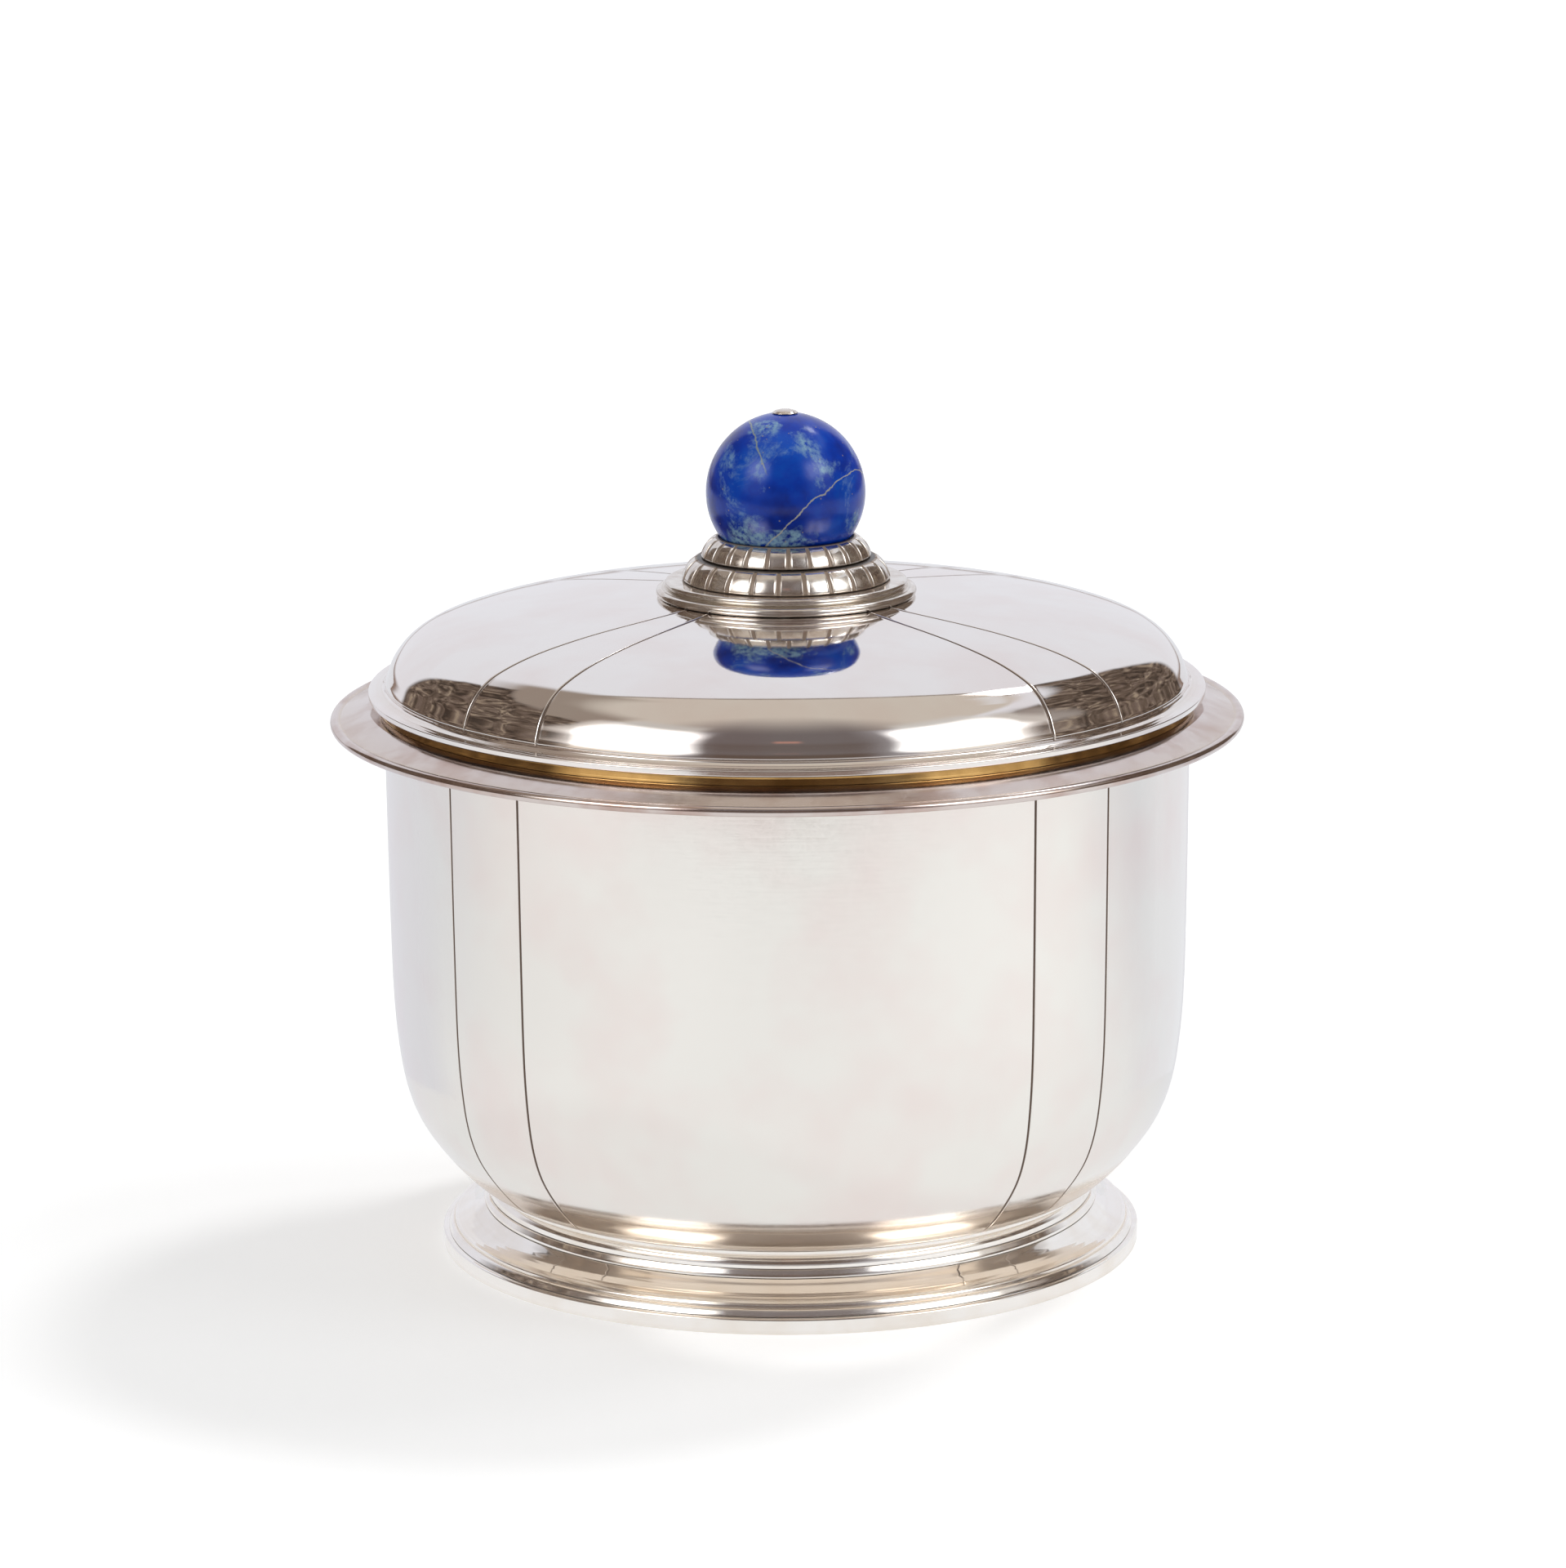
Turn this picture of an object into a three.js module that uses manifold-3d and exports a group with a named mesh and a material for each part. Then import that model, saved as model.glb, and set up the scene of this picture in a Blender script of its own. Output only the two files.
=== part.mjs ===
// Biscuit box: round silver bowl on a moulded foot, flared mouth with a gilt ring, domed lid with a stone ball knob.
// Millimetres, +Z up, origin on the axis at the underside of the foot, front towards -Y.
import * as THREE from 'three';
import { toCreasedNormals } from 'three/addons/utils/BufferGeometryUtils.js';
import Module from 'manifold-3d';

const wasm = await Module();
wasm.setup();

// Driving sizes. Heights stack up from the foot, radii follow the foot, the bowl and the ball.
const GAP = 0.3; // space left between neighbouring pieces
const FACETS = 48; // facets round the axis

const FOOT_SPREAD = 10; // how far the foot stands out beyond its neck
const FOOT_BAND_HEIGHT = 2.85;
const FLARE_HEIGHT = 5.4;
const WIRE_HEIGHT = 0.9;
const NECK_HEIGHT = 3.15;
const BOWL_RADIUS = 76.2;
const BOTTOM_SHARE = 0.777; // radius of the bowl's bottom edge as a share of the bowl's
const BOWL_HEIGHT = 87.7;
const BOWL_WALL = 0.9;
const COLLAR_HEIGHT = 3.35;
const BEZEL_LIP_HEIGHT = 1.35; // gilt ring showing under the lid
const BEZEL_WALL = 0.7;
const BEZEL_DEPTH = 4.2;
const FLANGE_HEIGHT = 2.1;
const FLANGE_BAND = 1.15;
const DOME_RISE = 16.95;
const DOME_WALL = 0.8;
const SLEEVE_WALL = 0.8;
const SLEEVE_DEPTH = 7.3;
const LID_CLEARANCE = 0.4; // between the lid's sleeve and the gilt ring
const BASE_HEIGHT = 1.95;
const LOWER_RING_HEIGHT = 3.3;
const UPPER_RING_HEIGHT = 4.05;
const BALL_RADIUS = 15;
const BALL_SEAT = 0.93; // metal under the ball
const ROD_RADIUS = 1.25;
const ROD_CLEARANCE = 0.35;
const WASHER_RADIUS = 7;
const WASHER_HEIGHT = 1.0;
const NUT_RADIUS = 3.2;
const NUT_HEIGHT = 2.4;

const PADS = 24; // cushions round each knob ring
const PAD_CUT_WIDTH = 1.0;
const PAD_CUT_DEPTH = 0.35;
const LINE_DEPTH = 0.35; // engraved lines, four pairs
const LINE_HALF_WIDTH = 0.35;
const LINE_PAIR_ANGLE = 14.2;
const BOWL_LINES_TURN = 43.0;
const LID_LINES_TURN = 46.4; // the lid sits a little turned on the bowl

// Heights that follow.
const FLARE_FLOOR = FOOT_BAND_HEIGHT + GAP;
const FLARE_TOP = FLARE_FLOOR + FLARE_HEIGHT;
const WIRE_FLOOR = FLARE_TOP + GAP;
const WIRE_TOP = WIRE_FLOOR + WIRE_HEIGHT;
const NECK_FLOOR = WIRE_TOP + GAP;
const NECK_TOP = NECK_FLOOR + NECK_HEIGHT;
const BOWL_FLOOR = NECK_TOP + GAP;
const BOWL_TOP = BOWL_FLOOR + BOWL_HEIGHT;
const COLLAR_FLOOR = BOWL_TOP + GAP;
const COLLAR_TOP = COLLAR_FLOOR + COLLAR_HEIGHT;
const LIP_FLOOR = COLLAR_TOP + GAP;
const LIP_TOP = LIP_FLOOR + BEZEL_LIP_HEIGHT;
const FLANGE_FLOOR = LIP_TOP + GAP;
const FLANGE_TOP = FLANGE_FLOOR + FLANGE_HEIGHT;
const DOME_FLOOR = FLANGE_TOP + GAP;
const DOME_TOP = DOME_FLOOR + DOME_RISE;
const BASE_TOP = DOME_TOP + BASE_HEIGHT;
const LOWER_RING_FLOOR = BASE_TOP + GAP;
const LOWER_RING_TOP = LOWER_RING_FLOOR + LOWER_RING_HEIGHT;
const UPPER_RING_FLOOR = LOWER_RING_TOP + GAP;
const UPPER_RING_TOP = UPPER_RING_FLOOR + UPPER_RING_HEIGHT;
const SEAT_RADIUS = BALL_RADIUS + GAP;
const BALL_Z = LOWER_RING_FLOOR + BALL_SEAT + SEAT_RADIUS;
const BALL_TOP = BALL_Z + BALL_RADIUS;
const WASHER_TOP = DOME_TOP - DOME_WALL - GAP;
const NUT_TOP = WASHER_TOP - WASHER_HEIGHT - GAP;

// Radii that follow.
const BOTTOM_RADIUS = BOTTOM_SHARE * BOWL_RADIUS;
const NECK_RADIUS = BOTTOM_RADIUS - 2.4;
const WIRE_RADIUS = NECK_RADIUS + 2.15;
const FOOT_RADIUS = NECK_RADIUS + FOOT_SPREAD;
const RIDGE_RADIUS = BOWL_RADIUS + 3;
const BEAD_CENTRE = RIDGE_RADIUS + 6.3;
const BEAD_RADIUS = 0.9;
const COLLAR_BORE = BOWL_RADIUS - 0.9;
const BEZEL_OUTER = BOWL_RADIUS - BOWL_WALL - GAP;
const BEZEL_BORE = BEZEL_OUTER - BEZEL_WALL;
const LIP_RADIUS = BOWL_RADIUS + 0.6;
const SLEEVE_OUTER = BEZEL_BORE - LID_CLEARANCE;
const FLANGE_BORE = SLEEVE_OUTER + GAP;
const FLANGE_RADIUS = RIDGE_RADIUS - 0.1;
const DOME_RADIUS = BOWL_RADIUS - 0.25;
const UPPER_RING_RADIUS = BALL_RADIUS + 1;
const LOWER_RING_RADIUS = UPPER_RING_RADIUS + 3.6;
const BASE_RADIUS = LOWER_RING_RADIUS + 5;
const ROD_HOLE = ROD_RADIUS + ROD_CLEARANCE;

const SILVER = { color: 0xd9d5d0, roughness: 0.16, metalness: 1 };
const GILT = { color: 0xc9993f, roughness: 0.22, metalness: 1 };
const LAPIS = { color: 0x123a9c, roughness: 0.35, metalness: 0 };

const rad = THREE.MathUtils.degToRad;
const deg = THREE.MathUtils.radToDeg;

// Smooth outline through a few points, sampled evenly.
function curve(points, count) {
  const spline = new THREE.SplineCurve(points.map(([r, z]) => new THREE.Vector2(r, z)));
  return spline.getPoints(count).map((p) => [p.x, p.y]);
}

// Part of a circle in the outline plane; angles in degrees from the outward direction.
function arc(r, z, radius, from, to, count) {
  const out = [];
  for (let i = 0; i <= count; i += 1) {
    const a = rad(from + ((to - from) * i) / count);
    out.push([r + radius * Math.cos(a), z + radius * Math.sin(a)]);
  }
  return out;
}

// The same outline moved inwards by a wall thickness.
function inset(outline, wall) {
  return outline.map(([r, z], i) => {
    const a = outline[Math.max(0, i - 1)];
    const b = outline[Math.min(outline.length - 1, i + 1)];
    const length = Math.hypot(b[0] - a[0], b[1] - a[1]);
    return [r - ((b[1] - a[1]) / length) * wall, z + ((b[0] - a[0]) / length) * wall];
  });
}

// Height of an outline at a radius.
function heightAt(outline, radius) {
  for (let i = 1; i < outline.length; i += 1) {
    const [r0, z0] = outline[i - 1];
    const [r1, z1] = outline[i];
    if ((r0 - radius) * (r1 - radius) <= 0 && r0 !== r1) {
      return z0 + ((z1 - z0) * (radius - r0)) / (r1 - r0);
    }
  }
  return outline[outline.length - 1][1];
}

function toSolid(positions, triangles) {
  return new wasm.Manifold(
    new wasm.Mesh({
      numProp: 3,
      vertProperties: new Float32Array(positions),
      triVerts: new Uint32Array(triangles),
    }),
  );
}

// Body of revolution round Z from an outline that runs up the outside and down the inside.
function turned(outline, facets = FACETS) {
  const positions = [];
  const rows = outline.map(([r, z]) => {
    const first = positions.length / 3;
    const pole = r < 1e-6;
    for (let i = 0; i < (pole ? 1 : facets); i += 1) {
      const a = (2 * Math.PI * (i + 0.5)) / facets;
      positions.push(r * Math.cos(a), r * Math.sin(a), z);
    }
    return { first, pole };
  });
  const triangles = [];
  const open = rows[0].pole && rows[rows.length - 1].pole;
  for (let k = 0; k < rows.length - (open ? 1 : 0); k += 1) {
    const a = rows[k];
    const b = rows[(k + 1) % rows.length];
    for (let i = 0; i < facets; i += 1) {
      const j = (i + 1) % facets;
      if (!a.pole) triangles.push(a.first + i, a.first + j, b.first + (b.pole ? 0 : j));
      if (!b.pole) triangles.push(a.first + (a.pole ? 0 : i), b.first + j, b.first + i);
    }
  }
  return toSolid(positions, triangles);
}

// Closed bar swept along stations; each station is a ring of points with the same count.
function swept(stations) {
  const n = stations[0].length;
  const positions = stations.flat(2);
  const triangles = [];
  const last = n * (stations.length - 1);
  for (let k = 1; k < n - 1; k += 1) {
    triangles.push(0, k + 1, k, last, last + k, last + k + 1);
  }
  for (let s = 0; s < stations.length - 1; s += 1) {
    for (let k = 0; k < n; k += 1) {
      const p = n * s + k;
      const q = n * s + ((k + 1) % n);
      triangles.push(p, q, q + n, p, q + n, p + n);
    }
  }
  const solid = toSolid(positions, triangles);
  if (solid.volume() > 0) return solid;
  const turnedOver = [];
  for (let i = 0; i < triangles.length; i += 3) {
    turnedOver.push(triangles[i + 1], triangles[i], triangles[i + 2]);
  }
  return toSolid(positions, turnedOver);
}

// Point at a radius and height, moved sideways, at an angle round the axis from the front.
function around([r, z], sideways, degrees) {
  const a = rad(degrees - 90);
  return [r * Math.cos(a) - sideways * Math.sin(a), r * Math.sin(a) + sideways * Math.cos(a), z];
}

// Four pairs of V-shaped engraved lines down an outline.
function engraved(solid, outline, turn) {
  const reach = 0.5;
  const wide = LINE_HALF_WIDTH * (1 + reach / LINE_DEPTH);
  const outer = inset(outline, -reach);
  const inner = inset(outline, LINE_DEPTH);
  const cutters = [];
  for (let pair = 0; pair < 4; pair += 1) {
    for (const half of [-0.5, 0.5]) {
      const at = turn + 90 * pair + half * LINE_PAIR_ANGLE;
      cutters.push(swept(outline.map((_, i) => [
        around(outer[i], -wide, at),
        around(outer[i], wide, at),
        around(inner[i], 0, at),
      ])));
    }
  }
  return solid.subtract(wasm.Manifold.union(cutters));
}

// Upright cuts that divide a knob ring into cushions.
function padded(solid, outline, turn) {
  const half = PAD_CUT_WIDTH / 2;
  const outer = inset(outline, -0.6);
  const inner = inset(outline, PAD_CUT_DEPTH);
  const cutters = [];
  for (let pad = 0; pad < PADS; pad += 1) {
    const at = turn + (360 / PADS) * pad;
    cutters.push(swept(outline.map((_, i) => [
      around(outer[i], -half, at),
      around(outer[i], half, at),
      around(inner[i], half, at),
      around(inner[i], -half, at),
    ])));
  }
  return solid.rotate([0, 0, turn]).subtract(wasm.Manifold.union(cutters));
}

const root = new THREE.Group();
root.name = 'biscuit_box';

function add(name, solid, look) {
  const mesh = solid.getMesh();
  const positions = new Float32Array(mesh.numVert * 3);
  for (let i = 0; i < mesh.numVert; i += 1) {
    for (let k = 0; k < 3; k += 1) {
      positions[3 * i + k] = mesh.vertProperties[i * mesh.numProp + k];
    }
  }
  const geometry = new THREE.BufferGeometry();
  geometry.setAttribute('position', new THREE.BufferAttribute(positions, 3));
  geometry.setIndex(new THREE.BufferAttribute(new Uint32Array(mesh.triVerts), 1));
  const item = new THREE.Mesh(
    toCreasedNormals(geometry, rad(25)),
    new THREE.MeshStandardMaterial(look),
  );
  item.name = name;
  root.add(item);
}

// Foot: base band, flare, wire and neck.
const bandBore = FOOT_RADIUS - 3.6;
add('foot_base_band', turned([
  [bandBore, 0],
  [FOOT_RADIUS - 0.2, 0],
  [FOOT_RADIUS, 0.2],
  [FOOT_RADIUS, FOOT_BAND_HEIGHT - 0.2],
  [FOOT_RADIUS - 0.2, FOOT_BAND_HEIGHT],
  [bandBore, FOOT_BAND_HEIGHT],
]), SILVER);

const ledgeRadius = FOOT_RADIUS - 4.2;
const flareThroat = WIRE_RADIUS - 0.45;
add('foot_flare', turned([
  [WIRE_RADIUS + 0.95, FLARE_FLOOR],
  [FOOT_RADIUS - 1.3, FLARE_FLOOR],
  [FOOT_RADIUS - 1.6, FLARE_FLOOR + 0.75],
  [FOOT_RADIUS - 2.2, FLARE_FLOOR + 1.05],
  [ledgeRadius, FLARE_FLOOR + 1.15],
  ...curve([
    [ledgeRadius - 0.9, FLARE_FLOOR + 1.45],
    [ledgeRadius - 2.0, FLARE_FLOOR + 0.45 * FLARE_HEIGHT],
    [flareThroat + 0.8, FLARE_FLOOR + 0.75 * FLARE_HEIGHT],
    [flareThroat, FLARE_TOP],
  ], 3),
  [flareThroat - 1.7, FLARE_TOP],
]), SILVER);

add('foot_wire', turned([
  [WIRE_RADIUS - 2.55, WIRE_FLOOR],
  [WIRE_RADIUS - 0.35, WIRE_FLOOR],
  [WIRE_RADIUS, (WIRE_FLOOR + WIRE_TOP) / 2],
  [WIRE_RADIUS - 0.35, WIRE_TOP],
  [WIRE_RADIUS - 2.55, WIRE_TOP],
]), SILVER);

add('foot_neck', turned([
  [NECK_RADIUS - 2.2, NECK_FLOOR],
  [NECK_RADIUS + 1.2, NECK_FLOOR],
  [NECK_RADIUS + 0.3, NECK_FLOOR + 0.14 * NECK_HEIGHT],
  [NECK_RADIUS, NECK_FLOOR + 0.4 * NECK_HEIGHT],
  [NECK_RADIUS + 0.6, NECK_FLOOR + 0.6 * NECK_HEIGHT],
  [NECK_RADIUS + 1.5, NECK_FLOOR + 0.78 * NECK_HEIGHT],
  [NECK_RADIUS + 1.8, NECK_TOP],
  [NECK_RADIUS - 2.2, NECK_TOP],
]), SILVER);

// Bowl; the outline is given as shares of its radius and height.
const bowlSide = curve([
  [BOTTOM_SHARE, 0.003],
  [0.8045, 0.014],
  [0.852, 0.051],
  [0.907, 0.108],
  [0.945, 0.168],
  [0.971, 0.24],
  [0.987, 0.359],
  [0.9935, 0.53],
  [0.9975, 0.781],
  [1, 1],
].map(([r, z]) => [BOWL_RADIUS * r, BOWL_FLOOR + BOWL_HEIGHT * z]), 11);
const bowlInside = inset(bowlSide, BOWL_WALL).filter((_, i) => i > 0 && (i + bowlSide.length) % 2 === 1);
bowlInside[bowlInside.length - 1][1] = BOWL_TOP;
const bowlLine = bowlSide.map(([r, z], i) => [r, i === bowlSide.length - 1 ? z - 1.0 : z]);
add('bowl', engraved(turned([
  [0, BOWL_FLOOR],
  [BOTTOM_RADIUS - 0.9, BOWL_FLOOR],
  ...bowlSide,
  ...bowlInside.reverse(),
  [BOTTOM_RADIUS + 0.4, BOWL_FLOOR + BOWL_WALL + 0.35],
  [BOTTOM_RADIUS - 1.4, BOWL_FLOOR + BOWL_WALL],
  [0, BOWL_FLOOR + BOWL_WALL],
]), bowlLine, BOWL_LINES_TURN), SILVER);

// Flared mouth with a rounded lip, and the gilt ring set into it.
add('mouth_collar', turned([
  [COLLAR_BORE, COLLAR_FLOOR],
  [RIDGE_RADIUS - 2.1, COLLAR_FLOOR],
  [RIDGE_RADIUS - 0.8, COLLAR_FLOOR + 1.25],
  ...arc(BEAD_CENTRE, COLLAR_TOP - 2.79, BEAD_RADIUS, -150, 110, 6),
  [RIDGE_RADIUS + 0.15, COLLAR_TOP - 0.1],
  [RIDGE_RADIUS - 0.15, COLLAR_TOP],
  [COLLAR_BORE, COLLAR_TOP],
]), SILVER);

add('mouth_bezel', turned([
  [BEZEL_BORE, BOWL_TOP - BEZEL_DEPTH],
  [BEZEL_OUTER, BOWL_TOP - BEZEL_DEPTH],
  [BEZEL_OUTER, LIP_FLOOR],
  [LIP_RADIUS, LIP_FLOOR],
  [LIP_RADIUS, LIP_TOP - 0.2],
  [LIP_RADIUS - 0.2, LIP_TOP],
  [BEZEL_BORE, LIP_TOP],
]), GILT);

// Lid: flat-edged flange, dome and the short sleeve that centres it in the mouth.
const bandTop = FLANGE_FLOOR + FLANGE_BAND;
add('lid_flange', turned([
  [FLANGE_BORE, FLANGE_FLOOR],
  [FLANGE_RADIUS - 0.15, FLANGE_FLOOR],
  [FLANGE_RADIUS, FLANGE_FLOOR + 0.15],
  [FLANGE_RADIUS, bandTop],
  [FLANGE_RADIUS - 0.35, bandTop + 0.1],
  [FLANGE_RADIUS - 1.7, bandTop + 0.22 * (FLANGE_TOP - bandTop)],
  [FLANGE_RADIUS - 2.6, bandTop + 0.55 * (FLANGE_TOP - bandTop)],
  [DOME_RADIUS, FLANGE_TOP],
  [FLANGE_BORE, FLANGE_TOP],
]), SILVER);

const domeSide = curve([
  [1, 0],
  [0.993, 0.1],
  [0.98, 0.236],
  [0.956, 0.38],
  [0.92, 0.501],
  [0.869, 0.599],
  [0.795, 0.687],
  [0.685, 0.767],
  [0.54, 0.841],
  [0.395, 0.897],
  [0.263, 0.956],
  [0.105, 0.997],
  [ROD_HOLE / DOME_RADIUS, 1],
].map(([r, z]) => [DOME_RADIUS * r, DOME_FLOOR + DOME_RISE * z]), 12);
const domeInside = inset(domeSide, DOME_WALL).filter(([r], i) => i > 0 && i % 2 === 0 && r > ROD_HOLE + 2);
const domeLine = domeSide.filter(([r]) => r > BASE_RADIUS - 4);
add('lid_dome', engraved(turned([
  ...domeSide,
  [ROD_HOLE, DOME_TOP - DOME_WALL],
  ...domeInside.reverse(),
  [DOME_RADIUS - DOME_WALL, DOME_FLOOR],
]), domeLine, LID_LINES_TURN), SILVER);

const sleeveTop = FLANGE_TOP - GAP;
add('lid_sleeve', turned([
  [SLEEVE_OUTER - SLEEVE_WALL, FLANGE_FLOOR - SLEEVE_DEPTH],
  [SLEEVE_OUTER, FLANGE_FLOOR - SLEEVE_DEPTH],
  [SLEEVE_OUTER, sleeveTop],
  [SLEEVE_OUTER - SLEEVE_WALL, sleeveTop],
]), GILT);

// Knob: stepped base, two cushioned rings, the ball, its cap and the fixings through the lid.
const underBase = [3, 12, 18, BASE_RADIUS - 0.4].map((r) => [r, heightAt(domeSide, r) + GAP]);
const rimFloor = underBase[underBase.length - 1][1];
add('knob_base', turned([
  [ROD_HOLE, DOME_TOP + GAP],
  ...underBase,
  [BASE_RADIUS, rimFloor + 0.3 * (BASE_TOP - rimFloor)],
  [BASE_RADIUS - 0.3, rimFloor + 0.5 * (BASE_TOP - rimFloor)],
  [BASE_RADIUS - 2.2, rimFloor + 0.58 * (BASE_TOP - rimFloor)],
  [BASE_RADIUS - 1.7, rimFloor + 0.77 * (BASE_TOP - rimFloor)],
  [BASE_RADIUS - 2.4, BASE_TOP],
  [ROD_HOLE, BASE_TOP],
]), SILVER);

const seat = (from, to, count) => arc(0, BALL_Z, SEAT_RADIUS, from, to, count);
const seatAngle = (z) => deg(Math.asin((z - BALL_Z) / SEAT_RADIUS));
const boreAngle = -deg(Math.acos(ROD_HOLE / SEAT_RADIUS));

const lowerPad = [
  [LOWER_RING_RADIUS - 0.3, LOWER_RING_FLOOR],
  [LOWER_RING_RADIUS, LOWER_RING_FLOOR + 0.2 * LOWER_RING_HEIGHT],
  [LOWER_RING_RADIUS - 0.7, LOWER_RING_FLOOR + 0.7 * LOWER_RING_HEIGHT],
  [LOWER_RING_RADIUS - 2.2, LOWER_RING_TOP],
];
add('knob_lower_ring', padded(turned([
  [ROD_HOLE, LOWER_RING_FLOOR],
  ...lowerPad,
  ...seat(seatAngle(LOWER_RING_TOP), boreAngle, 3),
]), lowerPad, 10.5), SILVER);

const crownRadius = SEAT_RADIUS * Math.cos(rad(seatAngle(UPPER_RING_TOP))) + 0.25;
const upperPad = [
  [UPPER_RING_RADIUS - 0.35, UPPER_RING_FLOOR],
  [UPPER_RING_RADIUS, UPPER_RING_FLOOR + 0.2 * UPPER_RING_HEIGHT],
  [UPPER_RING_RADIUS - 1.0, UPPER_RING_FLOOR + 0.7 * UPPER_RING_HEIGHT],
  [crownRadius, UPPER_RING_TOP],
];
add('knob_upper_ring', padded(turned([
  ...upperPad,
  ...seat(seatAngle(UPPER_RING_TOP), seatAngle(UPPER_RING_FLOOR), 3),
]), upperPad, 1.7), SILVER);

const holeAngle = deg(Math.acos(ROD_HOLE / BALL_RADIUS));
add('lapis_ball', turned(arc(0, BALL_Z, BALL_RADIUS, -holeAngle, holeAngle, 16), 36), LAPIS);

add('knob_cap', turned([
  [0, BALL_TOP + 0.12],
  [2.1, BALL_TOP + 0.12],
  [2.45, BALL_TOP + 0.02],
  [2.3, BALL_TOP + 0.3],
  [1.3, BALL_TOP + 0.62],
  [0, BALL_TOP + 0.75],
], 24), SILVER);

add('knob_washer', turned([
  [ROD_HOLE, WASHER_TOP - WASHER_HEIGHT],
  [WASHER_RADIUS - 0.4, WASHER_TOP - WASHER_HEIGHT],
  [WASHER_RADIUS, WASHER_TOP - 0.6 * WASHER_HEIGHT],
  [WASHER_RADIUS - 0.6, WASHER_TOP],
  [ROD_HOLE, WASHER_TOP],
], 32), SILVER);

const nutFloor = NUT_TOP - NUT_HEIGHT;
const nutBody = turned([[0, nutFloor], [NUT_RADIUS, nutFloor], [NUT_RADIUS, NUT_TOP], [0, NUT_TOP]], 6);
const nutBore = turned([[0, nutFloor - 1], [ROD_HOLE, nutFloor - 1], [ROD_HOLE, NUT_TOP + 1], [0, NUT_TOP + 1]], 20);
add('knob_nut', nutBody.subtract(nutBore), SILVER);

add('knob_rod', turned([
  [0, nutFloor - 0.8],
  [ROD_RADIUS - 0.3, nutFloor - 0.8],
  [ROD_RADIUS, nutFloor - 0.5],
  [ROD_RADIUS, BALL_TOP - 0.15],
  [0, BALL_TOP - 0.15],
], 20), SILVER);

export default root;
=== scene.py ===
# %% [markdown]
# A silver biscuit box: a deep round bowl on a low moulded foot, a flared mouth, and a domed lid with a
# blue stone ball. Nearly every piece is turned on a lathe or spun, so its shape is an outline carried
# round one upright axis. Polished silver has almost no colour of its own: what the eye reads is the
# surroundings, bent by the outline. So the outlines are drawn with care, and so are the surroundings.

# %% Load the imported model
import bpy
import math
from mathutils import Matrix, Vector


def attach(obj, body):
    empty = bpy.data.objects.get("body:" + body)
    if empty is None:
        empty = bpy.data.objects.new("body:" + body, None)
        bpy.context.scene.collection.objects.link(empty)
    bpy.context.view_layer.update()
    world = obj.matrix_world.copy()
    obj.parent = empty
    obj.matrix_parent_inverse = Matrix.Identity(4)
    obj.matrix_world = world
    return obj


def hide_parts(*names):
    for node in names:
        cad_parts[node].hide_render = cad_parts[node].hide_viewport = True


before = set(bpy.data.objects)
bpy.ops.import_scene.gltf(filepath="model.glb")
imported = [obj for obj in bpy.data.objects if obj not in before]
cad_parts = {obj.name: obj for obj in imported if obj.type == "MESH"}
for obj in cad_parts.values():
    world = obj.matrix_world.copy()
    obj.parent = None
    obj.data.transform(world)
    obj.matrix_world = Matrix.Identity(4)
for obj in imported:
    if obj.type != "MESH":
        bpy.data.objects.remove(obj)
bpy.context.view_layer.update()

MM = 0.001


# %% [markdown]
# Colours are easiest to name as hex values, the way a colour picker shows them. Blender's shaders work
# in linear light, so one function does the change. Another adds a node, sets it and links it: a node tree
# is then read from top to bottom like a recipe. A node given as a link stands for its first output in use.

# %% Small helpers
MATH = "ShaderNodeMath"
MAP_RANGE = "ShaderNodeMapRange"
MIX = "ShaderNodeMix"
SMOOTH = {"interpolation_type": "SMOOTHSTEP"}
COLOUR = {"data_type": "RGBA"}


def linear(hex_colour):
    channels = [int(hex_colour[i:i + 2], 16) / 255 for i in (1, 3, 5)]
    return [c / 12.92 if c <= 0.04045 else ((c + 0.055) / 1.055) ** 2.4 for c in channels] + [1.0]


def add_node(tree, kind, links=None, **settings):
    item = tree.nodes.new(kind)
    for name, value in settings.items():
        setattr(item, name, value)
    for key, value in (links or {}).items():
        if isinstance(value, bpy.types.Node):
            value = next(socket for socket in value.outputs if socket.enabled)
        if isinstance(value, bpy.types.NodeSocket):
            tree.links.new(value, item.inputs[key])
        else:
            item.inputs[key].default_value = value
    return item


def emptied_tree(owner):
    # The node tree of a material or a world, without the nodes that Blender puts in it.
    owner.use_nodes = True
    owner.node_tree.nodes.clear()
    return owner.node_tree


def new_object(name, data):
    item = bpy.data.objects.new(name, data)
    bpy.context.scene.collection.objects.link(item)
    return item


print("white is", linear("#FFFFFF"))


# %% [markdown]
# The camera stands about 1.15 m in front of the box and looks down on it by 12 degrees, through a long
# lens, as in a catalogue photograph. It was placed by fitting the circles of the rim, foot and knob.

# %% Camera
CAMERA_PLACE = Vector((0, -1.1477, 0.341))
CAMERA_DOWN = 12.417
CAMERA_TURN = 0.043
CAMERA_ROLL = -0.389
SENSOR = 36.0
PICTURE_WIDTH = 1920
FOCUS_IN_PIXELS = 7576.2
LENS = FOCUS_IN_PIXELS / PICTURE_WIDTH * SENSOR

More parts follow.
